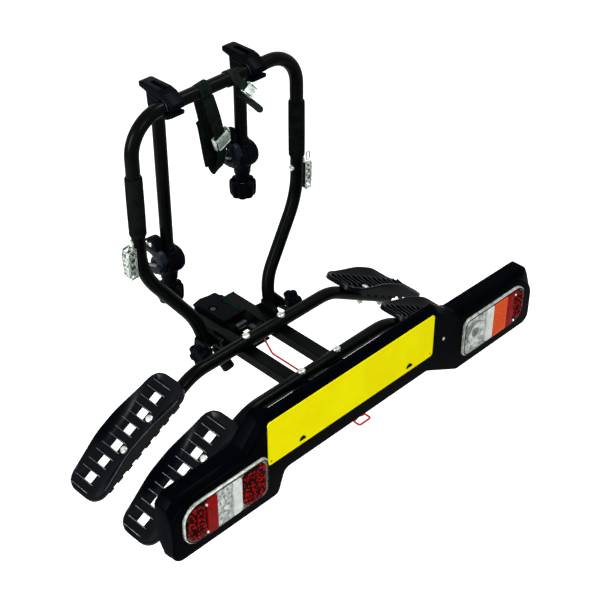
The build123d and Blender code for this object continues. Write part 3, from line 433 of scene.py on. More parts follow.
def rounded(corners, radii, steps=5):
    """The outline through the corners, each turned into an arc."""
    outline = []
    for i in range(len(corners)):
        here, last, following = (Vector(corners[k]) for k in (i, i - 1, (i + 1) % len(corners)))
        radius = radii[i] if isinstance(radii, (list, tuple)) else radii
        back, ahead = (last - here).normalized(), (following - here).normalized()
        half = back.angle(ahead) / 2
        reach = min(radius / tan(half), 0.95 * (last - here).length, 0.95 * (following - here).length)
        middle = here + (back + ahead).normalized() * (reach / cos(half))
        first, final = here + back * reach - middle, here + ahead * reach - middle
        turn = first.angle_signed(final)
        for k in range(steps + 1):
            angle = -turn * k / steps
            outline.append(middle + Vector((first.x * cos(angle) - first.y * sin(angle),
                                            first.x * sin(angle) + first.y * cos(angle))))
    return outline


def rectangle(low_a, high_a, low_b, high_b, radii, steps=5):
    """A rectangle's outline with rounded corners."""
    return rounded([(low_a, low_b), (high_a, low_b), (high_a, high_b), (low_a, high_b)], radii, steps)


def inset(outline, distance):
    """The outline moved inwards, each point along the mean of its two edge normals."""
    area = sum(a.x * b.y - b.x * a.y for a, b in zip(outline, outline[1:] + outline[:1]))
    side = 1 if area > 0 else -1
    moved = []
    for i, here in enumerate(outline):
        before, after = here - outline[i - 1], outline[(i + 1) % len(outline)] - here
        if before.length < 1e-6 or after.length < 1e-6:
            before = after = outline[(i + 1) % len(outline)] - outline[i - 1]
        a, b = before.normalized(), after.normalized()
        normal = Vector((-a.y - b.y, a.x + b.x)).normalized() * side
        stretch = max(0.5, sqrt(max(0.0, (1 + a.dot(b)) / 2)))
        moved.append(here + normal * distance / stretch)
    return moved


def arc(centre, radius, start, end, steps=8):
    """Points on an arc between two angles in degrees."""
    angles = [radians(start + (end - start) * k / steps) for k in range(steps + 1)]
    return [Vector((centre[0] + radius * cos(angle), centre[1] + radius * sin(angle))) for angle in angles]


def quarter_round(steps):
    """A rounded edge of radius 1, from face to side: how far in, and how far from the face, at each step."""
    turns = [radians(90 * k / steps) for k in range(steps + 1)]
    return [(1 - sin(turn), 1 - cos(turn)) for turn in turns]


def stack(rings, first_cap=True, last_cap=True):
    """Joins closed rings of equal count, and closes the two ends."""
    count = len(rings[0])
    verts = [Vector(p) for ring in rings for p in ring]
    faces = []
    for k in range(len(rings) - 1):
        for i in range(count):
            j = (i + 1) % count
            faces.append((k * count + i, k * count + j, (k + 1) * count + j, (k + 1) * count + i))
    if first_cap:
        faces.append(tuple(range(count)))
    if last_cap:
        faces.append(tuple(range((len(rings) - 1) * count, len(rings) * count)))
    return verts, faces


def tube_of(rings):
    """Rings whose last one meets the first, as in a seal or a sleeve."""
    return stack(rings + rings[:1], first_cap=False, last_cap=False)


def joined(*shapes):
    verts, faces = [], []
    for shape_verts, shape_faces in shapes:
        faces += [tuple(i + len(verts) for i in face) for face in shape_faces]
        verts += shape_verts
    return verts, faces


print("a rounded edge in three steps:", [(round(a, 2), round(b, 2)) for a, b in quarter_round(3)])

# %% [markdown]
# A shape is drawn in coordinates of its own, and a placing function turns these into the rack's X, Y and Z.
# So the same slab, turning or sweep serves a hub that looks along X, a lens that looks along Y and a
# leaning strap.

# %% Places, slabs, turnings and sweeps


def shifted(x=0.0, y=0.0, z=0.0):
    """Places (a, b, h) along X, Y and Z from a point."""
    return lambda a, b, h: Vector((x + a, y + b, z + h))


def on_axis(origin, axis, up=(0, 0, 1)):
    """Places (a, b, h) with h along the axis from the origin."""
    origin, along = Vector(origin), Vector(axis).normalized()
    side = Vector(up) - along * Vector(up).dot(along)
    side = side.normalized() if side.length > 1e-4 else along.orthogonal().normalized()
    other = along.cross(side)
    return lambda a, b, h: origin + side * a + other * b + along * h


def face_on(place):
    """Lays a slab's outline in a and h of a place, with its depth along b."""
    return lambda a, h, depth: place(a, depth, h)


def edge_on(place):
    """Lays a slab's outline in b and h of a place, with its depth along a."""
    return lambda b, h, depth: place(depth, b, h)


def slab(outline, low, high, place, edge=1.0):
    """A plate between two depths with rounded edges; place turns (a, b, depth) into x, y, z."""
    rounding = quarter_round(3)
    levels = [(edge * inwards, low + edge * rise) for inwards, rise in rounding]
    levels += [(edge * inwards, high - edge * rise) for inwards, rise in reversed(rounding)]
    return stack([[place(p.x, p.y, depth) for p in inset(outline, inwards)] for inwards, depth in levels])


def turned_rings(profile, place, segments=40, lobes=0, lobe_depth=0.0):
    """The rings of a lathe shape: profile holds (radius, height), and lobes press flutes into its side."""
    rings = []
    for radius, height in profile:
        ring = []
        for i in range(segments):
            angle = 2 * pi * i / segments
            dent = lobe_depth * (0.5 - 0.5 * cos(lobes * angle)) ** 2
            r = radius * (1 - dent)
            ring.append(place(r * cos(angle), r * sin(angle), height))
        rings.append(ring)
    return rings


def turned(*lathe):
    return stack(turned_rings(*lathe))


def swept(points, radius, segments=12):
    """A round bar along the points; its frame turns with the path, without twisting."""
    points = [Vector(p) for p in points]
    rings = []
    side = (points[1] - points[0]).normalized().orthogonal()
    for i, here in enumerate(points):
        run = (points[min(i + 1, len(points) - 1)] - points[max(i - 1, 0)]).normalized()
        side = (side - run * side.dot(run)).normalized()
        other = run.cross(side)
        rings.append([here + side * radius * cos(2 * pi * k / segments)
                      + other * radius * sin(2 * pi * k / segments) for k in range(segments)])
    return stack(rings)


drawn_in = {"straight": shifted(), "along Y": face_on(shifted()), "along X": edge_on(shifted())}
print("a slab's depth lies:", {name: tuple(place(0, 0, 1)) for name, place in drawn_in.items()})

# %% [markdown]
# A finished shape becomes a mesh object. The object then rides on one body of the rack, takes its slot's
# finish unless it has its own, and may stand for nodes of the construction model, which it hides.

# %% From shapes to pieces


def make_piece(name, shape, finish, sharp=32.0, merge=0.01, marks=None):
    """Turns a shape into a mesh object with outward faces, smooth but for its real edges.

    Points closer than merge become one, and marks are the points' places on a UV map in millimetres.
    """
    mesh = bpy.data.meshes.new(name)
    mesh.from_pydata([Vector(v) * MM for v in shape[0]], [], shape[1])
    if marks:
        layer = mesh.uv_layers.new(name="millimetres")
        for loop in mesh.loops:
            layer.data[loop.index].uv = marks[loop.vertex_index]
    build = bmesh.new()
    build.from_mesh(mesh)
    if merge:
        bmesh.ops.remove_doubles(build, verts=build.verts, dist=merge * MM)
    bmesh.ops.recalc_face_normals(build, faces=build.faces)
    build.to_mesh(mesh)
    build.free()
    mesh.shade_smooth()
    mesh.set_sharp_from_angle(angle=radians(sharp))
    mesh.materials.append(finish)
    made = bpy.data.objects.new(name, mesh)
    bpy.context.scene.collection.objects.link(made)
    return made


def stands_for(made, body, slot, *nodes):
    """Makes the piece ride on its body, and hides the construction nodes that it replaces."""
    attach(made, body)
    if nodes:
        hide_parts(*nodes)
    return made


def fitted(name, shape, body, slot, *nodes, finish=None, **how):
    """A piece on its body that stands for nodes, in its slot's finish unless it has its own."""
    finish = finishes[slot] if finish is None else finish
    return stands_for(make_piece(name, shape, finish, **how), body, slot, *nodes)


def finished(made):
    """Applies the piece's modifiers, so that what is kept is a plain mesh."""
    bpy.context.view_layer.update()
    result = bpy.data.meshes.new_from_object(made.evaluated_get(bpy.context.evaluated_depsgraph_get()))
    result.name = made.name + "_mesh"
    made.modifiers.clear()
    made.data = result


# %% [markdown]
# Ribs, prisms and notches repeat at one pitch. A Geometry Nodes tree sets a small part on every point of a
# grid, and makes the copies real at its end, because the copies have to leave the script as plain faces.

# %% A grid of copies
grid_tree = bpy.data.node_groups.new("grid_of_copies", "GeometryNodeTree")
grid_inputs = {}
for input_name, kind in (("Part", "NodeSocketObject"), ("Count X", "NodeSocketInt"),
                         ("Count Y", "NodeSocketInt"), ("Size X", "NodeSocketFloat"),
                         ("Size Y", "NodeSocketFloat"), ("Finish", "NodeSocketMaterial")):
    socket = grid_tree.interface.new_socket(input_name, in_out="INPUT", socket_type=kind)
    grid_inputs[input_name] = socket.identifier
grid_tree.interface.new_socket("Geometry", in_out="OUTPUT", socket_type="NodeSocketGeometry")
given = add(grid_tree, "NodeGroupInput")
points = add(grid_tree, "GeometryNodeMeshGrid",
             {"Vertices X": given.outputs["Count X"], "Vertices Y": given.outputs["Count Y"],
              "Size X": given.outputs["Size X"], "Size Y": given.outputs["Size Y"]})
part = add(grid_tree, "GeometryNodeObjectInfo", {"Object": given.outputs["Part"]})
copies = add(grid_tree, "GeometryNodeInstanceOnPoints",
             {"Points": points.outputs["Mesh"], "Instance": part.outputs["Geometry"]})
real = add(grid_tree, "GeometryNodeRealizeInstances", {"Geometry": copies.outputs[0]})
coloured = add(grid_tree, "GeometryNodeSetMaterial",
               {"Geometry": real.outputs[0], "Material": given.outputs["Finish"]})
add(grid_tree, "NodeGroupOutput", {"Geometry": coloured.outputs[0]})


def grid_of_copies(shape, counts, pitches, place, finish):
    """A grid of one small shape, as a shape: place turns its flat coordinates into x, y, z."""
    seed = make_piece("seed_part", shape, finish)
    holder = bpy.data.objects.new("grid_holder", bpy.data.meshes.new("grid_holder"))
    bpy.context.scene.collection.objects.link(holder)
    modifier = holder.modifiers.new("grid", "NODES")
    modifier.node_group = grid_tree
    modifier[grid_inputs["Part"]] = seed
    modifier[grid_inputs["Count X"]], modifier[grid_inputs["Count Y"]] = counts
    modifier[grid_inputs["Size X"]] = (counts[0] - 1) * pitches[0] * MM
    modifier[grid_inputs["Size Y"]] = (counts[1] - 1) * pitches[1] * MM
    modifier[grid_inputs["Finish"]] = finish
    finished(holder)
    verts = [place(*(v.co / MM)) for v in holder.data.vertices]
    faces = [tuple(face.vertices) for face in holder.data.polygons]
    for used in (holder, seed):
        bpy.data.objects.remove(used)
    return verts, faces


print("helpers ready, grid tree with", len(grid_tree.nodes), "nodes")

# %% [markdown]
# ## Light board
# The board is one ABS moulding: a flat front, a sloping ledge along its top, rounded edges and an open back.
# It is a loft of rings that share one outline, because every ring then has the same points and the ledge, the
# round edges and the wall come from moving them in depth. The back is deeper behind the lamps.

# %% Board moulding
board_front = -500.0
board_wall = 3.0
front_edge = 5.0
ledge_end, full_from, ledge_inside = -483.0, -479.0, -480.0
centre_back, pod_back, step_back = -472.0, -448.0, -466.0
pod_left_end, pod_right_end, pod_step_z = -300.0, 285.0, -22.0
back_round, back_fall = 1.2, 1.5
outline_stretch = 24.0


def board_outlines():
    """The outline at the ledge and the one at the front, which has the rounder corners, point by point."""
    foot = [(-580, -60), (-288, -60), (-268, -1), (188, -1), (300, -60), (578, -60)]
    full_top = [(578, 70), (562, 104), (292, 108), (214, 168), (-326, 168), (-380, 108), (-562, 104),
                (-580, 84)]
    front_top = [(578, 44), (530, 93), (292, 97), (214, 156), (-326, 156), (-380, 96), (-540, 93), (-580, 56)]
    full = rounded(foot + full_top, [22, 18, 18, 24, 24, 22, 18, 18, 24, 24, 24, 24, 18, 14], 6)
    front = rounded(foot + front_top, [26, 18, 18, 24, 24, 26, 60, 60, 24, 24, 24, 24, 46, 46], 6)
    outlines = [], []
    for i, here in enumerate(full):
        following = (i + 1) % len(full)
        pieces = max(1, int((full[following] - here).length // outline_stretch))
        for outline, arcs in zip(outlines, (full, front)):
            outline += [arcs[i].lerp(arcs[following], n / pieces) for n in range(pieces)]
    return outlines


def back_at(p):
    """How deep the board reaches at a point of its outline: deepest in the pods, with a step below."""
    if pod_left_end <= p.x <= pod_right_end:
        return centre_back
    return step_back if p.y < pod_step_z else pod_back


def board_rings():
    """Rings from the front face round the outer edge to the back, and in again along the wall."""
    full, front = board_outlines()

    def level(outline, inwards, y):
        return [(p.x, y, p.y) for p in inset(outline, inwards)]

    def back(inwards, fall=0.0):
        return [(p.x, back_at(edge) - fall, p.y) for p, edge in zip(inset(full, inwards), full)]

    rounding = [level(front, front_edge * inwards, board_front + front_edge * rise)
                for inwards, rise in quarter_round(4)]
    return [*rounding, level(full, 1.0, ledge_end), level(full, 0.0, full_from),
            back(0.0, back_fall), back(back_round), back(board_wall),
            level(full, board_wall + 0.5, ledge_inside),
            level(front, board_wall + 2, board_front + board_wall)]


board = fitted("board_moulding", stack(board_rings()), "platform", "board_plastic", "light_board", sharp=28.0)
print("board:", len(board.data.polygons), "faces")

# %% [markdown]
# ## Lamps
# Each lamp is a pale rim of clear plastic, welded over a white base, and a black ring inside the rim paints
# the dark line in it as painted shade. Its red parts are moulded full of small pyramids that throw light
# back, so they glitter. The pyramids are a grid of copies. The clear parts show chromed reflectors, the right
# one with a dark bulb socket in its bowl, and a thin clear cover closes them. Two screws hold each lamp.

# %% Lamp rims and red lenses
lamp_low, lamp_high = -30.0, 78.0
outer_radius, inner_radius = 40.0, 20.0
rim_reach = 6.6
inner_low, inner_high = lamp_low + rim_reach, lamp_high - rim_reach
lens_base = 0.5
prism_pitch, prism_height = 5.2, 1.7
rim_profile = [(0.0, 0.0), (0.0, 3.0), (0.8, 5.2), (2.2, 6.4), (4.0, 6.4), (5.4, 5.4), (6.2, 3.0), (6.2, 2.0)]
shade_ring_profile = [(2.8, 5.0), (2.8, 7.0), (5.2, 7.0), (5.2, 5.0)]
lamps = {"left": (-554.0, -322.0, outer_radius, inner_radius),
         "right": (311.0, 543.0, inner_radius, outer_radius)}
left_parts = {"corner": (-546.8, -496.0), "block": (-495.4, -467.0), "clear": (-466.4, -424.4),
              "pillar": (-424.0, -399.0), "red": (-397.0, -330.5), "base": (-466.4, -398.6)}
right_parts = {"clear": (318.2, 391.4), "pillar": (392.0, 419.4), "amber": (420.6, 470.4),
               "block": (471.0, 496.4), "corner": (497.0, 535.8), "base": (318.2, 470.4)}


def lamp_place(x, z, depth):
    """Depth counts from the board's front towards the viewer."""
    return Vector((x, board_front - depth, z))


def lamp_axis(x, z):
    """The place of a lathe shape that looks out of the board."""
    return on_axis(lamp_place(x, z, 0), (0, -1, 0))


def lamp_rings(outline, profile):
    """Rings round an outline: profile holds how far inwards and how far out of the board each one is."""
    return [[lamp_place(p.x, p.y, depth) for p in inset(outline, inwards)] for inwards, depth in profile]


def lamp_outline(x0, x1, low, high, left_radius, right_radius):
    return rectangle(x0, x1, low, high, [left_radius, right_radius, right_radius, left_radius], 8)


def band(span, left_radius, right_radius):
    """The outline of one part inside the rim, over its span of x."""
    return lamp_outline(*span, inner_low, inner_high, left_radius, right_radius)


def lens_body(outline, base, top, edge=3.0):
    """A lens block whose face is slightly domed at its edges."""
    dome = [(edge * inwards, top - edge * rise * 0.8) for inwards, rise in reversed(quarter_round(4))]
    return stack(lamp_rings(outline, [(0.0, base), *dome]))


def prism_field(span, margin, depth):
    """Pyramids on a grid over a lens face, margin short of the lamp's lower and upper end."""
    half = prism_pitch * 0.48
    foot = [Vector((a * half, b * half, 0)) for a, b in ((-1, -1), (1, -1), (1, 1), (-1, 1))]
    sides = [(0, 3, 2, 1), (0, 1, 4), (1, 2, 4), (2, 3, 4), (3, 0, 4)]
    pyramid = foot + [Vector((0, 0, prism_height))], sides
    z_low, z_high = lamp_low + margin, lamp_high - margin
    counts = int((span[1] - span[0]) // prism_pitch), int((z_high - z_low) // prism_pitch)
    middle_x, middle_z = sum(span) / 2, (z_low + z_high) / 2

    def on_face(a, b, h):
        return lamp_place(middle_x + a, middle_z + b, depth + h)

    return grid_of_copies(pyramid, counts, (prism_pitch, prism_pitch), on_face, finishes["red_lens"])


for side, (x0, x1, left_radius, right_radius) in lamps.items():
    outline = lamp_outline(x0, x1, lamp_low, lamp_high, left_radius, right_radius)
    fitted(f"lamp_rim_{side}", stack(lamp_rings(outline, rim_profile)), "platform", "lamp_body",
           f"lamp_housing_{side}")
    # A black ring in the rim: painted shade for the dark line along the clear rim.
    fitted(f"lamp_seal_{side}", tube_of(lamp_rings(outline, shade_ring_profile)), "platform", "rubber")

red_shapes = [lens_body(band(left_parts["corner"], 34, 3), lens_base, 8.0),
              lens_body(band(left_parts["red"], 24, 20), lens_base, 9.0, 5.0),
              lens_body(band(right_parts["corner"], 3, 34), lens_base, 8.0),
              prism_field((-540, -500), 18, 7.9), prism_field((-390, -337), 16, 8.9),
              prism_field((501, 529), 18, 7.9)]
lenses = fitted("red_prism_lenses", joined(*red_shapes), "platform", "red_lens", "red_lenses")
plain_blocks = [lens_body(band(left_parts["block"], 3, 3), lens_base, 9.6, 2.0),
                lens_body(band(right_parts["block"], 3, 3), lens_base, 8.6, 2.0)]
fitted("red_plain_lenses", joined(*plain_blocks), "platform", "red_lens", finish=plain_red)
print("red lenses:", len(lenses.data.polygons), "faces")

# %% Reflectors, clear covers and screws
base_low, base_high = 0.4, 2.0
pillar_high = 8.4
cover_low, cover_high = 6.6, 8.6
facet_rows = 7
bowl_rings, bowl_rise = 8, 4.6
bulb_profile = [(12.5, 0.2), (12.0, 1.6), (7.5, 2.0), (6.5, 2.8), (3.0, 3.2)]
screw_profile = [(0.8, 11.4), (2.2, 11.2), (3.0, 10.2), (3.2, 9.0), (3.2, 6.0)]


def facet_bank(span, columns, depth, relief):
    """A bank of chromed facets, each tilted its own way."""
    verts, faces = [], []
    x_lines = [span[0] + (span[1] - span[0]) * i / columns for i in range(columns + 1)]
    z_lines = [inner_low + (inner_high - inner_low) * j / facet_rows for j in range(facet_rows + 1)]
    for i, (xa, xb) in enumerate(zip(x_lines, x_lines[1:])):
        for j, (za, zb) in enumerate(zip(z_lines, z_lines[1:])):
            tilt = relief * (1 if (i + j) % 2 else -1)
            lean = relief * (1 if (i * 2 + j) % 3 else -1)
            start = len(verts)
            verts += [lamp_place(xa, za, depth + tilt), lamp_place(xb, za, depth - lean),
                      lamp_place(xb, zb, depth - tilt), lamp_place(xa, zb, depth + lean)]
            faces.append((start, start + 1, start + 2, start + 3))
    return verts, faces


def bowl(place, radius, depth):
    """A round chromed reflector, and the dark bulb socket in its middle."""
    parts = [k / bowl_rings for k in range(1, bowl_rings + 1)]
    dish = [(radius * part, depth + bowl_rise * part**2) for part in parts]
    bulb = [(reach, depth + rise) for reach, rise in bulb_profile]
    return stack(turned_rings(dish, place, 36), last_cap=False), turned(bulb, place, 28)


base_parts = [lens_body(band(left_parts["base"], 3, 3), base_low, base_high, 0.6),
              lens_body(band(right_parts["base"], 15, 3), base_low, base_high, 0.6),
              lens_body(band(left_parts["pillar"], 2, 10), base_high, pillar_high, 2.0),
              lens_body(band(right_parts["pillar"], 6, 3), base_high, pillar_high, 2.0)]
fitted("lamp_white_bases", joined(*base_parts), "platform", "lamp_body", finish=white_base)
right_bowl, right_bulb = bowl(lamp_axis(356, 24), 31, 3.4)
chrome_parts = [facet_bank((-465.5, -425), 4, 4.4, 1.5), facet_bank((319.5, 391), 6, 3.2, 0.9), right_bowl]
fitted("lamp_reflectors", joined(*chrome_parts), "platform", "lamp_body", finish=chrome_reflector, sharp=20.0,
       merge=0.0005)
fitted("lamp_bulb_socket", right_bulb, "platform", "lamp_body", finish=dark_and_shaded_steel)
cover_parts = [lens_body(band(left_parts["clear"], 3, 3), cover_low, cover_high, 1.0),
               lens_body(band(right_parts["clear"], 15, 3), cover_low, cover_high, 1.0)]
cover = fitted("lamp_clear_covers", joined(*cover_parts), "platform", "clear_lens", "clear_lenses")
amber_ribs = [swept([lamp_place(x, inner_low + 5, 8.7), lamp_place(x + 6, inner_high - 5, 8.7)], 0.7, 6)
              for x in range(424, 464, 5)]
amber = joined(lens_body(band(right_parts["amber"], 3, 3), base_high, 8.8, 2.0), *amber_ribs)
fitted("amber_lens_part", amber, "platform", "amber_lens", "amber_lens")
screws = [turned(screw_profile, lamp_axis(x, z), 20) for x in (-497, 499) for z in (-14, 62)]
fitted("lamp_screws", joined(*screws), "platform", "bright_steel")
print("lamps: covers of", len(cover.data.polygons), "faces")

# %% [markdown]
# ## Wheel trays
# A tray is a thin dish of polypropylene. Its far wall is a wide smooth slope, its near wall is steep, and
# both rise to one crest that is highest in the middle. The dish is lofted from the flat channel out to the
# rim, with the same points on every ring, and the holes are simply left out of the channel's faces. A
# Solidify modifier gives the wall. Pairs of fins stand at the holes' ends. They come from the grid tree, as
# do the paler beads on their edges, and one more bead follows the near rim. The beads' paler colour is a
# painted highlight along those thin edges.

# %% The tray's dish
tray_start, tray_length, tray_half, tray_floor = 216.0, 324.0, 54.0, 3.2
slope = radians(30.0)
tube_top = 152.98
tray_corner = 34.0
tray_wall = 2.4
lip_section = [(1.0, 0.0), (2.0, 1.0), (2.2, 3.2)]
tray_lip = lip_section[-1][0]
wall_steps = 10
far_power, end_power, near_power = 1.75, 1.5, 1.25
hole_first, hole_pitch, hole_count = 57.0, 45.0, 6
hole_long, hole_low, hole_high = 22.0, -1.5, 21.5
channel_low, channel_high = -29.0, 25.0
channel_start, channel_end = 22.0, 302.0
skirt_inset, skirt_top = 0.6, 1.5
skirt_drop, drop_from, drop_to = 5.0, 40.0, 284.0
notch_first, notch_pitch, notch_count, notch_half = 70.0, 32.0, 7, 7.0
crest_points = [(0, 11.2), (54, 16.2), (129, 31.2), (166, 33.2), (201, 32.2), (258, 19.2), (294, 11.2),
                (324, 9.2)]


def crest(u):
    """The rim's height at a place along the tray, through the crest points without a kink."""
    u = min(max(u, 0.0), tray_length)
    for i in range(len(crest_points) - 1):
        (u0, h0), (u1, h1) = crest_points[i], crest_points[i + 1]
        if u <= u1:
            before, after = crest_points[max(i - 1, 0)], crest_points[min(i + 2, len(crest_points) - 1)]
            t = (u - u0) / (u1 - u0)
            m0 = (h1 - before[1]) / max(u1 - before[0], 1) * (u1 - u0)
            m1 = (after[1] - h0) / max(after[0] - u0, 1) * (u1 - u0)
            return ((2 * t**3 - 3 * t**2 + 1) * h0 + (t**3 - 2 * t**2 + t) * m0
                    + (3 * t**2 - 2 * t**3) * h1 + (t**3 - t**2) * m1)
    return crest_points[-1][1]


def lengths(path):
    """How far along a path each of its points is."""
    reach = [0.0]
    for a, b in zip(path, path[1:]):
        reach.append(reach[-1] + (b - a).length)
    return reach


def along(path, fractions):
    """Points at the given fractions of a path's length."""
    reach = lengths(path)
    found = []
    for fraction in fractions:
        target = fraction * reach[-1]
        k = max(i for i in range(len(path) - 1) if reach[i] <= target + 1e-9)
        run = max(reach[k + 1] - reach[k], 1e-9)
        found.append(path[k].lerp(path[k + 1], min(1.0, (target - reach[k]) / run)))
    return found


def tray_rim(inwards):
    """The rim's four sides from the middle of one corner to the next: far, outer end, near, inner end."""
    r = tray_corner - inwards
    low, high = tray_corner, tray_length - tray_corner
    side = tray_half - tray_corner
    return [arc((low, side), r, 135, 90) + arc((high, side), r, 90, 45),
            arc((high, side), r, 45, 0) + arc((high, -side), r, 0, -45),
            arc((high, -side), r, -45, -90) + arc((low, -side), r, -90, -135),
            arc((low, -side), r, 225, 180) + arc((low, side), r, 180, 135)]


def tray_lines():
    """Cutting lines along the channel, at the holes' ends and between, and across it."""
    along_lines = [channel_start, 33.0]
    for n in range(hole_count):
        middle = hole_first + n * hole_pitch
        along_lines += [middle - hole_long / 2, middle, middle + hole_long / 2]
        along_lines += [middle + hole_pitch / 2] if n < hole_count - 1 else []
    return along_lines + [channel_end], [channel_low, -16.0, hole_low, 10.0, hole_high, channel_high]


def in_hole(u, v):
    """Whether a cell of the channel, given by its middle, is part of a hole."""
    beside = any(abs(u - hole_first - n * hole_pitch) < hole_long / 2 for n in range(hole_count))
    return beside and hole_low < v < hole_high


def tray_dish(place):
    """The channel without its holes, and four walls that rise from its sides and turn over the rim's lip."""
    us, vs = tray_lines()
    verts, faces, index = [], [], {}

    def vertex(u, v, h):
        key = (round(u, 3), round(v, 3), round(h, 3))
        if key not in index:
            index[key] = len(verts)
            verts.append(place(u, v, h))
        return index[key]

    for u0, u1 in zip(us, us[1:]):
        for v0, v1 in zip(vs, vs[1:]):
            if not in_hole((u0 + u1) / 2, (v0 + v1) / 2):
                cell = ((u0, v0), (u1, v0), (u1, v1), (u0, v1))
                faces.append(tuple(vertex(u, v, tray_floor) for u, v in cell))
    sides = [([(u, channel_high) for u in us], far_power),
             ([(channel_end, v) for v in reversed(vs)], end_power),
             ([(u, channel_low) for u in reversed(us)], near_power),
             ([(channel_start, v) for v in vs], end_power)]
    for (floor_side, power), rim_side in zip(sides, tray_rim(tray_lip)):
        feet = [Vector(foot) for foot in floor_side]
        reach = lengths(feet)
        columns = []
        for foot, rim in zip(feet, along(rim_side, [step / reach[-1] for step in reach])):
            top = crest(rim.x)
            out = (rim - foot).normalized()
            column = [vertex(foot.x, foot.y, tray_floor)]
            for k in range(1, wall_steps + 1):
                t = k / wall_steps
                here = foot.lerp(rim, t)
                column.append(vertex(here.x, here.y, tray_floor + (top - tray_floor) * t**power))
            for push, drop in lip_section:
                here = rim + out * push
                column.append(vertex(here.x, here.y, top - drop))
            columns.append(column)
        for a, b in zip(columns, columns[1:]):
            faces += [(a[k], b[k], b[k + 1], a[k + 1]) for k in range(len(a) - 1)]
    return verts, faces


def tray_skirt(place):
    """The outer wall under the rim, with notches along its lower edge."""
    straight = tray_half - 2 * skirt_inset
    notches = [notch_first + n * notch_pitch for n in range(notch_count)]
    path = [p for side in tray_rim(skirt_inset) for p in side]
    stops = []
    for here, following in zip(path, path[1:] + path[:1]):
        pieces = max(1, int((following - here).length // 9))
        stops += [here.lerp(following, k / pieces) for k in range(pieces)]
    edges = [drop_from, drop_to] + [middle + e for middle in notches for e in (-notch_half, notch_half)]
    for v in (tray_half - skirt_inset, skirt_inset - tray_half):
        stops += [Vector((edge + e, v)) for edge in edges for e in (-0.15, 0.15)]

    def order(p):
        """A number that grows round the rim, so that the added stops fall in line."""
        if abs(p.y) > straight:
            return p.x if p.y > 0 else 1000 - p.x
        turn = atan2(p.y, p.x - tray_length / 2)
        return 400 + (1 - turn) if p.x > tray_length / 2 else 1400 + ((-turn) % (2 * pi))

    def lower_edge(p):
        notched = any(abs(p.x - middle) < notch_half for middle in notches)
        return -skirt_drop if abs(p.y) > straight and drop_from < p.x < drop_to and not notched else 0.0

    stops.sort(key=order)
    return stack([[place(p.x, p.y, crest(p.x) - skirt_top) for p in stops],
                  [place(p.x, p.y, crest(p.x) * 0.5) for p in stops],
                  [place(p.x, p.y, lower_edge(p)) for p in stops]], first_cap=False, last_cap=False)


def tray_place(sign, centre, shift=0.0):
    """Places (u, v, h) in a tray that slopes down to its outer end: along it, across it and up."""
    def place(u, v, h):
        s = tray_start + shift + u
        return Vector((sign * (cos(slope) * s + sin(slope) * (tube_top + h)), centre + v,
                       -sin(slope) * s + cos(slope) * (tube_top + h)))
    return place


print("tray crest:", [round(crest(u), 1) for u in range(0, 325, 81)], "mm")

# %% Four trays
tray_centres = {"front": -138.0, "rear": -321.0}
fin_places = (-10.0, 10.0)
fin_half = 1.2
fin_outline = [Vector(p) for p in ((40, 9.0), (39, 15.0), (34, 14.0), (22, 11.5), (-10, 9.5), (-14, 7.0),
                                   (-15, 2.6), (28, 2.6))]
fin_crest = [(41, 15.4), (34, 14.3), (22, 11.8), (-10, 9.8), (-14, 7.2)]
fin_pair = joined(*[slab(fin_outline, e - fin_half, e + fin_half, edge_on(shifted()), 0.5)
                    for e in fin_places])
fin_beads = joined(*[swept([(e, v, h) for v, h in fin_crest], 0.9, 6) for e in fin_places])
fin_grid = (hole_count + 1, 1), (hole_pitch, 1.0)
fin_shift = hole_first + 2.5 * hole_pitch


def thickened(name, shape):
    """The shape as a wall of the tray's thickness, again as a shape."""
    dish = make_piece(name, shape, finishes["tray_plastic"], 40.0)
    wall = dish.modifiers.new("wall", "SOLIDIFY")
    wall.thickness, wall.offset = tray_wall * MM, 0.0
    finished(dish)
    skin = [v.co / MM for v in dish.data.vertices], [tuple(face.vertices) for face in dish.data.polygons]
    bpy.data.objects.remove(dish)
    return skin


for side, sign in (("left", -1), ("right", 1)):
    for name, centre in tray_centres.items():
        at_tray, at_fins = tray_place(sign, centre), tray_place(sign, centre, fin_shift)
        fins = grid_of_copies(fin_pair, *fin_grid, at_fins, finishes["tray_plastic"])
        # The paler beads on the fins' edges and along the near rim are a painted highlight.
        beads = grid_of_copies(fin_beads, *fin_grid, at_fins, tray_highlight_edge)
        near_bead = swept([at_tray(u, 1.2 - tray_half, crest(u) + 0.8) for u in range(34, 292, 6)], 0.8, 8)
        fitted(f"tray_{name}_{side}_edges", joined(beads, near_bead), "platform", "tray_plastic",
               finish=tray_highlight_edge)
        skin = thickened(f"tray_{name}_{side}_dish", joined(tray_dish(at_tray), tray_skirt(at_tray)))
        tray = fitted(f"tray_{name}_{side}_moulding", joined(skin, fins), "platform", "tray_plastic",
                      f"tray_{name}_{side}", sharp=34.0, merge=0.001)
print("trays: 4 of", len(tray.data.polygons), "faces")

# %% [markdown]
# ## Arms: clamps, hubs and hand knobs
# The arm clamps are moulded wedges that narrow to the back, with a slot in their top. A slab between two
# outlines gives the wedge, and a Boolean cuts the slot. A thin dark liner follows the bar at the clamp's left
# side, above a rivet. Hubs and knobs are lathe shapes, because their real moulds are turned.

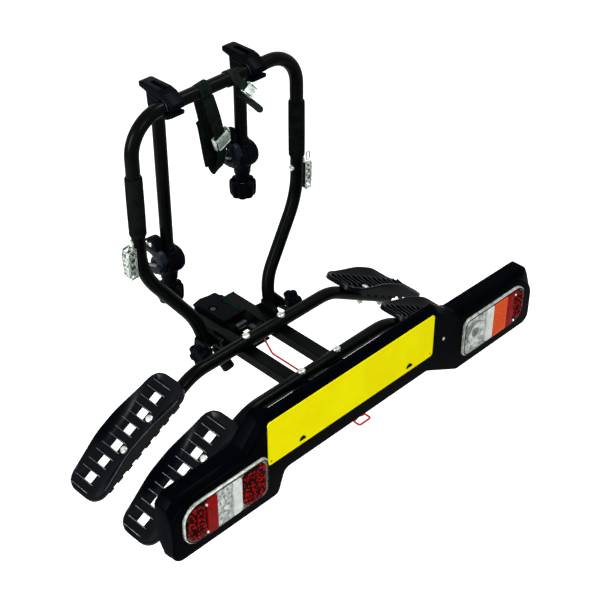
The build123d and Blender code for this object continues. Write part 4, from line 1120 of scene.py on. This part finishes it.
# %% Arm clamps
hoop_y, hoop_top = -20.0, 629.0
arm_y = 23.0
arms = {"left": (-131.0, 212.0), "right": (106.0, 395.0)}
clamp_half, lip_half, post_half = 22.0, 21.0, 17.5
clamp_front, nose_end, clamp_reach = -28.0, -12.0, 105.0
lid_corners = [(-31, 1), (-29, 11), (0, 29), (14, 33), (72, 34), (82, 31), (81, 19), (60, 15), (44, 8),
               (18, 6), (-6, -4), (-24, -4)]
lid_radii = [4, 9, 16, 14, 6, 5, 4, 8, 8, 8, 6, 4]
lip_corners = [(-28, -8), (-25, -19), (-8, -28), (18, -28), (24, -20), (20, -10), (-12, -12)]
lip_radii = [3, 6, 9, 6, 4, 3, 3]
post_corners = [(8, 12), (62, 16), (60, -14), (54, -40), (20, -40), (12, -26), (8, -18)]
liner_radius = 18.6
rivet_profile = [(3.4, 0), (3.4, 1.2), (2.4, 2.2), (0.8, 2.6)]


def clamp_place(x):
    """Narrows the clamp towards its back end, and rounds its front end."""
    def place(a, b, d):
        taper = 0.20 * (a - clamp_front) / clamp_reach
        nose = 0.25 * max(0.0, (nose_end - a) / 20) ** 2
        return Vector((x + d * (1 - taper - nose), hoop_y + a, hoop_top + b))
    return place


def cut_slot(clamp, x):
    """Takes a slot out of the clamp's top."""
    slot = slab(rectangle(-6.5, 6.5, 10, 56, 3.0), 27.0, 44.0, shifted(x, hoop_y, hoop_top), 0.5)
    cutter = make_piece("slot_cutter", slot, finishes["black_plastic"])
    cut = clamp.modifiers.new("slot", "BOOLEAN")
    cut.object, cut.operation, cut.solver = cutter, "DIFFERENCE", "EXACT"
    finished(clamp)
    bpy.data.objects.remove(cutter)
    clamp.data.shade_smooth()
    clamp.data.set_sharp_from_angle(angle=radians(30))


for side, (x, hub_z) in arms.items():
    at_clamp = clamp_place(x)
    parts = [slab(rounded(lid_corners, lid_radii), -clamp_half, clamp_half, at_clamp, 4.5),
             slab(rounded(lip_corners, lip_radii), -lip_half, lip_half, at_clamp, 3.0),
             slab(rounded(post_corners, 4), -post_half, post_half, at_clamp, 3.0)]
    clamp = make_piece(f"arm_clamp_{side}_moulding", joined(*parts), finishes["black_plastic"])
    cut_slot(clamp, x)
    stands_for(clamp, f"arm_{side}", "black_plastic", f"arm_clamp_{side}")
    liner_arc = [(x - clamp_half - 0.3, p.x, p.y) for p in arc((hoop_y, hoop_top), liner_radius, 95, 185, 15)]
    rivet = turned(rivet_profile, on_axis((x - clamp_half * 0.8, hoop_y + 44, hoop_top - 28), (-1, 0, 0)), 20)
    fitted(f"clamp_liner_{side}", joined(swept(liner_arc, 0.8, 8), rivet), f"arm_{side}", "bright_steel",
           finish=dark_and_shaded_steel)
print("clamps:", len(clamp.data.polygons), "faces each")

# %% Hubs and knobs
hub_half = 23.0
neck_length = 69.0
knob_gap = 0.4
knob_lobes, knob_lobe_depth = 8, 0.10
drum_profile = [(8, -hub_half), (25, -hub_half), (29.5, -21.5), (31.5, -18), (32.5, -12), (32.5, -9),
                (31.1, -8.2), (31.1, -6.2), (32.5, -5.4), (33, 10), (32.5, 20), (30, 26), (25, 30.5),
                (10, 32)]
collar_profile = [(25, 16), (24.5, 27), (22.5, 30), (20, 31.5), (18.4, 36), (17.6, 41), (15.2, 42.5),
                  (15.2, 30)]
neck_profile = [(17, -neck_length), (18.6, -neck_length + 1), (18.8, -60), (17.2, -58), (17.2, -50),
                (19.4, -47), (20.5, -34), (24, -22), (24, -10)]
ear_corners = [(-30, -8), (-12, -32), (12, -32), (30, -8), (24, 18), (-24, 18)]
knob_profile = [(8, 8), (24.5, 8), (26, 1.4), (27.5, 0.2), (30, 0.4), (31.4, 2.5), (31.8, 9), (31.6, 10.2),
                (30.4, 10.8), (30.4, 12.2), (31.6, 12.8), (32, 15), (31, 33), (29, 38), (25, 40), (17, 40),
                (15.5, 38.4), (6, 38.4)]
stud_profile = [(5.9, -8.2), (5.9, 26)]

for side, (x, hub_z) in arms.items():
    middle = (x, arm_y, hub_z)
    knob_seat = (x, arm_y, hub_z - neck_length - knob_gap)
    hub = joined(turned(drum_profile, on_axis(middle, (1, 0, 0)), 48),
                 turned(collar_profile, on_axis(middle, (0, 0, 1)), 40),
                 turned(neck_profile, on_axis(middle, (0, 0, 1)), 40),
                 slab(rounded(ear_corners, 8), -16, 16, edge_on(shifted(*middle)), 3.0))
    fitted(f"arm_hub_{side}_moulding", hub, f"arm_{side}", "black_plastic", f"arm_hub_{side}")
    knob = turned(knob_profile, on_axis(knob_seat, (0, 0, -1)), 96, knob_lobes, knob_lobe_depth)
    fitted(f"arm_knob_{side}_moulding", knob, f"arm_knob_{side}", "black_plastic", f"arm_knob_{side}")
    stud = turned(stud_profile, on_axis(knob_seat, (0, 0, 1)), 24)
    fitted(f"arm_knob_{side}_stud", stud, f"arm_knob_{side}", "bright_steel")
print("hubs: drums", drum_profile[-1][1] - drum_profile[0][1], "mm long")

# %% [markdown]
# ## Frame jaws
# The jaw that hooks over a bike's frame is glass-filled nylon in a blue-grey. The lower jaw swings on a steel
# pin, and its lining is pale ribbed rubber, so that it neither slips nor scratches. The hook is a thick slab
# with well-rounded edges. The ribs are copies from the grid tree.

# %% Jaws


def jaw_nylon():
    return plain_finish("blue_grey_nylon", ("#060B12", "#0E1620"), (0.26, 0.38), 1.0, 0.03, 24.0,
                        specular=0.08)


def rib_rubber():
    return plain_finish("pale_ribbed_rubber", ("#7E8A7C", "#A9B3A2"), (0.55, 0.7), 1.2, 0.06, 9.0)


grey_nylon, pale_rubber = jaw_nylon(), rib_rubber()
jaw_gap, jaw_width = 0.4, 17.0
hook_corners = [(-30, 20), (-22, 40), (2, 52), (34, 50), (38, 32), (14, 29), (-8, 19), (-6, 6), (-24, 2)]
hook_radii = [8, 14, 14, 5, 5, 12, 6, 4, 6]
ratchet_corners = [(-13, 46), (-13, 66), (-6, 81), (8, 79), (24, 68), (36, 56), (36, 44)]
ratchet_radii = [4, 8, 8, 8, 10, 8, 4]
lower_corners = [(-9, 3), (-4, 8), (6, 3), (42, -8), (42, -18), (8, -20), (-8, -10)]
lower_radii = [4, 3, 4, 3, 3, 8, 6]
disc_profile = [(6, 0), (20, 0), (23, 1.0), (24, 3), (24, 9), (22.6, 10.8), (14, 10.8), (13, 9.6), (5, 9.6)]
pin_profile = [(1, -3.2), (3.9, -3.2), (4.4, -2.2), (4.4, -0.6), (3.0, -0.4), (3.0, 9)]
bolt_profile = [(1, -6.6), (4.6, -6.4), (5.6, -5.4), (5.6, -3.2), (3.0, -3.0), (3.0, 4)]
rib_section = [Vector(p) for p in ((-1.3, -3.0), (1.3, -3.0), (1.0, 1.6), (-1.0, 1.6))]
rib = slab(rib_section, -4.6, 4.6, face_on(shifted()), 0.5)
rib_count, rib_pitch = 9, 4.0
rib_fall = 11 / 36


def rib_place(outer, pin_y, pin_z):
    """Places the ribs along the lower jaw's sloping top."""
    return lambda a, b, h: Vector((outer + 0.8 + b, pin_y + 24 + a, pin_z - 2.4 - a * rib_fall + h))


for side, (x, hub_z) in arms.items():
    inner = x - hub_half - jaw_gap
    outer = inner - jaw_width
    pin_y, pin_z = arm_y - 15.0, hub_z + 4.0
    at_jaw, at_pin = edge_on(shifted(0, arm_y, hub_z)), edge_on(shifted(0, pin_y, pin_z))
    disc = turned(disc_profile, on_axis((inner, arm_y, hub_z), (-1, 0, 0)), 48)
    hook = slab(rounded(hook_corners, hook_radii, 6), outer, inner, at_jaw, 3.2)
    jaw = fitted(f"jaw_{side}_hook", joined(disc, hook), f"jaw_{side}", "black_plastic", f"jaw_{side}",
                 finish=grey_nylon)
    ratchet = slab(rounded(ratchet_corners, ratchet_radii), outer - 3, inner, at_jaw, 2.0)
    fitted(f"jaw_{side}_ratchet", ratchet, f"jaw_{side}", "black_plastic")
    pin = turned(pin_profile, on_axis((outer, pin_y, pin_z), (1, 0, 0)), 24)
    bolt = turned(bolt_profile, on_axis((outer, arm_y + 4, hub_z + 62), (1, 0, 0)), 24)
    fitted(f"jaw_{side}_pins", joined(pin, bolt), f"jaw_{side}", "bright_steel", finish=polished_steel)
    lower = slab(rounded(lower_corners, lower_radii), outer - 4, outer + 5.6, at_pin, 1.2)
    fitted(f"jaw_lower_{side}_moulding", lower, f"jaw_lower_{side}", "black_plastic", f"jaw_lower_{side}",
           finish=grey_nylon)
    ribs = grid_of_copies(rib, (rib_count, 1), (rib_pitch, 1.0), rib_place(outer, pin_y, pin_z), pale_rubber)
    fitted(f"jaw_lining_{side}", ribs, f"jaw_lower_{side}", "rubber", finish=pale_rubber)
print("jaws:", len(jaw.data.polygons), "faces in a hook")

# %% [markdown]
# ## Straps and buckles
# A strap is a flat band that follows a path, so it is swept with a flat section, and it keeps its width
# across one given direction. Its UV map counts millimetres, which is what the woven finish reads. The cam
# buckles are pressed steel: a channel with two cheeks, and a lever that swings between them on its cam. The
# wide buckle's lever has a blasted grey pad for the thumb.

# %% Webbing bands
strap_thickness = 2.2
bar_radius, bar_slide = 17.7, 3.0
band_section = [(-1, -0.25), (-1, 0.25), (-0.92, 0.5), (-0.5, 0.5), (0, 0.5), (0.5, 0.5), (0.92, 0.5),
                (1, 0.25), (1, -0.25), (0.92, -0.5), (0.5, -0.5), (0, -0.5), (-0.5, -0.5), (-0.92, -0.5)]


def smooth(points, steps=6):
    """A curve through the points without kinks."""
    points = [Vector(p) for p in points]
    curve = []
    for i in range(len(points) - 1):
        a, b, c, d = (points[max(0, min(len(points) - 1, i + k))] for k in (-1, 0, 1, 2))
        for k in range(steps):
            t = k / steps
            curve.append(0.5 * ((2 * b) + (c - a) * t + (2 * a - 5 * b + 4 * c - d) * t**2
                                + (3 * b - a - 3 * c + d) * t**3))
    return curve + [points[-1]]


def band_of_webbing(points, across, width, thickness=strap_thickness, round_end=False):
    """The band's shape, and for each of its points how far across and along the strap it is."""
    rings, marks = [], []
    reach = lengths(points)
    for i, here in enumerate(points):
        run = (points[min(i + 1, len(points) - 1)] - points[max(i - 1, 0)]).normalized()
        side = (Vector(across) - run * Vector(across).dot(run)).normalized()
        out = run.cross(side)
        half = width / 2
        left = reach[-1] - reach[i]
        if round_end and left < half:
            half *= max(0.25, sqrt(max(0.0, 1 - (1 - left / (width / 2)) ** 2)))
        rings.append([here + side * half * a + out * thickness * b for a, b in band_section])
        marks += [(half * a, reach[i]) for a, b in band_section]
    return stack(rings), marks


def fit_webbing(name, bands, finish, body, node):
    """One strap from several bands, with their millimetres as its UV map."""
    marks = [mark for shape, band_marks in bands for mark in band_marks]
    return fitted(name, joined(*[shape for shape, band_marks in bands]), body, "webbing", node,
                  finish=finish, sharp=50.0, merge=0.0, marks=marks)


def round_the_bar(x, start, end, steps=20):
    """A turn round the hoop's top bar that slides a little along it."""
    turn = arc((hoop_y, hoop_top), bar_radius, start, end, steps)
    return [Vector((x + bar_slide * k / steps, p.x, p.y)) for k, p in enumerate(turn)]


def buckle_axes(centre, start):
    """Across the strap, away from it and against its run, as the buckle sits."""
    up = (start - centre).normalized()
    side = Vector((0, -1, 0)).cross(up).normalized()
    return side, up.cross(side), up


def buckle_place(centre, start):
    side, out, up = buckle_axes(centre, start)
    return lambda a, b, h: centre + side * a + out * b + up * h


print("webbing:", finishes["webbing"].name, narrow_webbing.name)

# %% Wide strap
wide_x, wide_width = -46.0, 30.0
wide_buckle = Vector((28.0, 6.0, 474.0))
wide_start = Vector((-42.0, -37.6, 619.0))
pad_width, pad_thickness = 44.0, 6.0
pad_offset = Vector((4, 5.0, 0))
at_wide = buckle_place(wide_buckle, wide_start)
wide_side = buckle_axes(wide_buckle, wide_start)[0]

wrap = round_the_bar(wide_x, 215, -15)
front_run = smooth([wide_start, at_wide(-3, -2.0, 118), at_wide(-3, -1.5, 66), at_wide(0, 0, 20),
                    at_wide(0, 0, -24)], 8)
loop_back = [Vector(p) for p in ((36, 44, 386), (33, 50, 420), (24, 47, 462), (10, 38, 508))]
loop_run = smooth([at_wide(0, 0, -20), (39, 17, 425), (40, 25, 392), (39, 34, 376), *loop_back])
back_run = [wrap[-1].lerp(loop_back[-1], k / 8) for k in range(9)]
bands = [band_of_webbing(wrap + front_run[1:], (1, 0, 0.15), wide_width),
         band_of_webbing(back_run, wide_side, wide_width),
         band_of_webbing(loop_run, wide_side, wide_width - 1)]
strap = fit_webbing("strap_wide_webbing", bands, finishes["webbing"], "arm_right", "strap_wide")
pad_run = smooth([p + pad_offset for p in (Vector((4, 36, 522)), *reversed(loop_back))])
pad_shape = band_of_webbing(pad_run, wide_side, pad_width, pad_thickness)[0]
fitted("strap_wide_pad", pad_shape, "arm_right", "rubber")
print("wide strap:", len(strap.data.polygons), "faces")

# %% Cam buckles


def blasted_pad():
    """The thumb pad is blasted before plating, so it is greyer than the polished steel around it."""
    return plain_finish("blasted_zinc_pad", ("#6E7F78", "#93A59C"), (0.4, 0.55), 0.9, 0.05, 8.0, Metallic=0.5)


def buckle_frame(at, width, depth, height, sheet):
    """A pressed channel: a back plate, two cheeks with a raised ear, and a rolled bar below."""
    half_w, half_h, back_depth = width / 2, height / 2, -3.0
    back = slab(rectangle(-half_w, half_w, -half_h, half_h, 2.5), back_depth, back_depth + sheet,
                face_on(at), 0.4)
    cheek_corners = [(back_depth, -half_h), (depth - 8, -half_h), (depth - 4, -half_h + 5),
                     (depth - 3, half_h - 16), (depth, half_h - 8), (depth - 3, half_h), (back_depth, half_h)]
    cheek = rounded(cheek_corners, [1, 3, 3, 3, 4, 4, 1], 4)
    cheeks = [slab(cheek, low, low + sheet, edge_on(at), 0.4) for low in (-half_w, half_w - sheet)]
    bar = swept([at(a, depth - 9, 3 - half_h) for a in (0.5 - half_w, half_w - 0.5)], 2.2, 12)
    return joined(back, *cheeks, bar)


def buckle_lever(at, width, length, pin_out, pin_up, pin_radius):
    """The cam on its pin, and the plate that the thumb lifts, with a rolled lower edge."""
    half_w = width / 2
    pin = swept([at(a, pin_out, pin_up) for a in (-half_w - 3.4, half_w + 3.4)], pin_radius, 16)
    cam = swept([at(a, pin_out, pin_up) for a in (-half_w, half_w)], pin_radius + 2.0, 20)
    plate = slab(rectangle(-half_w, half_w, pin_up - length, pin_up + 4, 3), pin_out + 2.2, pin_out + 4.6,
                 face_on(at), 0.6)
    roll = swept([at(a, pin_out + 4.4, pin_up - length + 1.6) for a in (1 - half_w, half_w - 1)], 1.6, 12)
    return joined(pin, cam, plate, roll)


def fit_buckle(name, frame_shape, lever_shape, body):
    """The buckle's frame on the strap's body, and its lever on a body of its own."""
    made = fitted(f"{name}_buckle_frame", frame_shape, body, "bright_steel", f"{name}_buckle",
                  finish=polished_steel)
    fitted(f"{name}_lever_pressing", lever_shape, f"{name}_lever", "bright_steel", f"{name}_lever",
           finish=polished_steel)
    return made


blasted_zinc = blasted_pad()
wide_frame = fit_buckle("strap_wide", buckle_frame(at_wide, 46.0, 12.0, 44.0, 1.8),
                        buckle_lever(at_wide, 37.0, 33.0, 6.0, 12.0, 2.0), "arm_right")
lever_pad = slab(rectangle(-15, 15, -14, 13, 2.5), 10.4, 12.6, face_on(at_wide), 0.7)
fitted("strap_wide_lever_pad", lever_pad, "strap_wide_lever", "bright_steel", finish=blasted_zinc)
print("buckles:", len(wide_frame.data.polygons), "faces in the wide frame")

# %% Narrow strap
narrow_x, narrow_width = 38.0, 20.0
narrow_across = (1, -0.2, 0.1)
narrow_start = Vector((42.0, -39.2, 631.0))
narrow_tail = Vector((60.0, -98.0, 568.0))
at_narrow = buckle_place(Vector((60.0, -58.0, 606.0)), narrow_start)

narrow_wrap = round_the_bar(narrow_x, -150, 168, 28)
narrow_run = smooth([narrow_wrap[-1], narrow_start, at_narrow(0, -1, 22), at_narrow(0, 0, 0),
                     at_narrow(0, -2, -14)], 8)
tail_run = smooth([(46, -36, 600), (52, -60, 587), (57, -82, 577), narrow_tail], 8)
bands = [band_of_webbing(narrow_wrap + narrow_run[1:], narrow_across, narrow_width),
         band_of_webbing(tail_run, narrow_across, narrow_width - 2, round_end=True)]
narrow_strap = fit_webbing("strap_narrow_webbing", bands, narrow_webbing, "hoop", "strap_narrow")
fit_buckle("strap_narrow", buckle_frame(at_narrow, 26.0, 10.5, 27.0, 1.4),
           buckle_lever(at_narrow, 19.0, 18.0, 5.0, 7.0, 1.5), "hoop")
print("narrow strap:", len(narrow_strap.data.polygons), "faces")

# %% [markdown]
# ## Leg buckles, side knobs, grips and the coupler's cover
# The folded buckles on the legs are plated pressings. Each cheek is a ladder of two rails with slanted steps,
# rolled bars join the cheeks over a dark web, and a ring hangs in the top. The lever between them is a ladder
# too, and closes on a cam. The foam grips are soft sleeves, a little barrel-shaped and rounded at their ends.
# The coupler's cover keeps its construction shape, and a ribbed rubber strip lies along its right side;
# its green colour is a painted sheen.

# %% Leg buckles and levers
buckle_face = 259.5
rail_corners = [[(0, 256), (5, 253), (5, 334), (0, 331)],
                [(17, 259), (21, 262), (23, 300), (23, 322), (17, 331)]]
step_heights = (256, 274, 292, 310, 325)
rolls = [(16, 318, 3.4), (8, 262, 2.6), (17, 268, 2.2)]
roll_half = 12.4
lever_corners = [(13, 321), (19, 321), (23.4, 300), (22.6, 262), (17, 258), (15.5, 286)]
lever_radii = [2, 2, 4, 4, 3, 4]
rung_heights = (260, 271, 282, 293, 304)


def leg_place(sign):
    """a outwards from the buckle's inner face, b along Y from the leg's middle, h up."""
    return lambda a, b, h: Vector((sign * (buckle_face + a), hoop_y + b, h))


def leg_frame(at):
    """Two ladder cheeks, three rolled bars and the ring."""
    steps = [[(2, h), (20, h - 2), (20, h + 5), (2, h + 7)] for h in step_heights]
    cheeks = [slab(rounded(part, 1.5, 4), b, b + 1.8, face_on(at), 0.4)
              for b in (-12.6, 10.8) for part in (*rail_corners, *steps)]
    bars = [swept([at(a, -roll_half, h), at(a, roll_half, h)], radius, 14) for a, h, radius in rolls]
    ring = [at(12 + 6 * cos(radians(t)), -9, 344 + 12 * sin(radians(t))) for t in range(0, 361, 15)]
    return joined(*cheeks, *bars, swept(ring, 1.6, 8))


def leg_lever(at):
    """Two cheeks with five rungs and a spine between them."""
    cheeks = [slab(rounded(lever_corners, lever_radii), b, b + 1.5, face_on(at), 0.4) for b in (-9.6, 8.1)]
    rungs = [slab(rectangle(-9, 9, h, h + 6.4, 1.0), 21.0, 22.8, edge_on(at), 0.4) for h in rung_heights]
    spine = slab(rectangle(-2.2, 2.2, 260, 312, 0.8), 20.6, 22.2, edge_on(at), 0.4)
    return joined(*cheeks, *rungs, spine)


frames, webs = [], []
for side, sign in (("left", -1), ("right", 1)):
    at_leg = leg_place(sign)
    frames.append(leg_frame(at_leg))
    webs.append(slab(rectangle(-11, 11, 258, 328, 2), 0.3, 2.0, edge_on(at_leg), 0.4))
    fitted(f"leg_lever_{side}_pressing", leg_lever(at_leg), f"leg_lever_{side}", "bright_steel",
           f"leg_lever_{side}", finish=polished_steel)
leg_pair = fitted("leg_buckle_pressings", joined(*frames), "hoop", "bright_steel", "leg_buckles",
                  finish=polished_steel)
fitted("leg_buckle_webs", joined(*webs), "hoop", "bright_steel", finish=dark_and_shaded_steel)
print("leg buckles:", len(leg_pair.data.polygons), "faces")

# %% Side knobs and grips
star_lobes, star_lobe_depth = 6, 0.26
star_profile = [(8, 0), (14.6, 0.2), (15, 6), (23, 9), (27.4, 10.4), (29, 14), (29, 22), (27, 26.6), (20, 28),
                (12, 27.2), (10, 25.6), (4, 25.6)]
grip_low, grip_high = 354, 499
grip_profile = [(16.3, 0), (18.4, 0.6), (19.4, 3.0), (19.6, 20), (19.8, 72), (19.6, 125), (19.4, 142),
                (18.4, 144.4), (16.3, 145)]


def leg_middle(sign, z):
    """The middle of a hoop leg at a height; the legs lean outwards a little towards their feet."""
    return Vector((sign * (242.0 + (hoop_top - z) / 380.0), hoop_y, z))


for side, sign in (("left", -1), ("right", 1)):
    star = turned(star_profile, on_axis((sign * 135.2, -95, 10), (sign, 0, 0)), 96, star_lobes,
                  star_lobe_depth)
    fitted(f"side_knob_{side}_moulding", star, f"side_knob_{side}", "black_plastic", f"side_knob_{side}")
    low, high = leg_middle(sign, grip_low), leg_middle(sign, grip_high)
    sleeve = tube_of(turned_rings(grip_profile, on_axis(low, high - low, (1, 0, 0)), 48))
    grip = fitted(f"foam_grip_{side}_sleeve", sleeve, "hoop", "foam", f"foam_grip_{side}")
print("grips:", len(grip.data.polygons), "faces")

# %% Ribbed strip on the coupler's cover


def strip_rubber():
    return plain_finish("ribbed_green_rubber", ("#04140C", "#082014"), (0.45, 0.6), 1.2, 0.06, 14.0,
                        specular=0.03)


# The strip's green is a painted sheen: the greenish shine of lit black paint, set into its colour.
strip_finish = strip_rubber()
strip_base = slab(rectangle(17, 33, -54, 19, 3), 25.6, 27.2, shifted(), 0.6)
strip_rib = swept([(0, -35, 0), (0, 35, 0)], 0.9, 8)
strip_ribs = grid_of_copies(strip_rib, (5, 1), (3.0, 1.0), shifted(25, -17.5, 27.3), strip_finish)
strip = fitted("cover_ribbed_strip", joined(strip_base, strip_ribs), "coupler", "rubber", finish=strip_finish)
print("strip:", len(strip.data.polygons), "faces")

# %% [markdown]
# Black shrouds close the gap between the coupler and the front cross tube, under the latch, so that neither
# grit nor fingers get into it. One is part of the coupler, with a notch that the latch swings through, and
# the other rides with the platform.

# %% Shrouds of the latch
shroud_low, shroud_high = -22.5, -19.5
front_corners = [(-35, -96), (7, -96), (7, -70), (29, -70), (29, -96), (35, -96), (35, -52), (-35, -52)]
front_shroud = slab(rounded(front_corners, 2), shroud_low, shroud_high, shifted(), 0.8)
shroud = fitted("latch_shroud_front", front_shroud, "coupler", "black_plastic")
rear_shroud = slab(rectangle(-37.5, 37.5, -136, -106, 3), shroud_low, shroud_high, shifted(), 0.8)
guard = fitted("latch_shroud_rear", rear_shroud, "platform", "black_plastic")
print("shrouds:", len(shroud.data.polygons) + len(guard.data.polygons), "faces")

# %% Sizes and the end
print("size: cad", [round(v, 3) for v in cad_low], [round(v, 3) for v in cad_high])
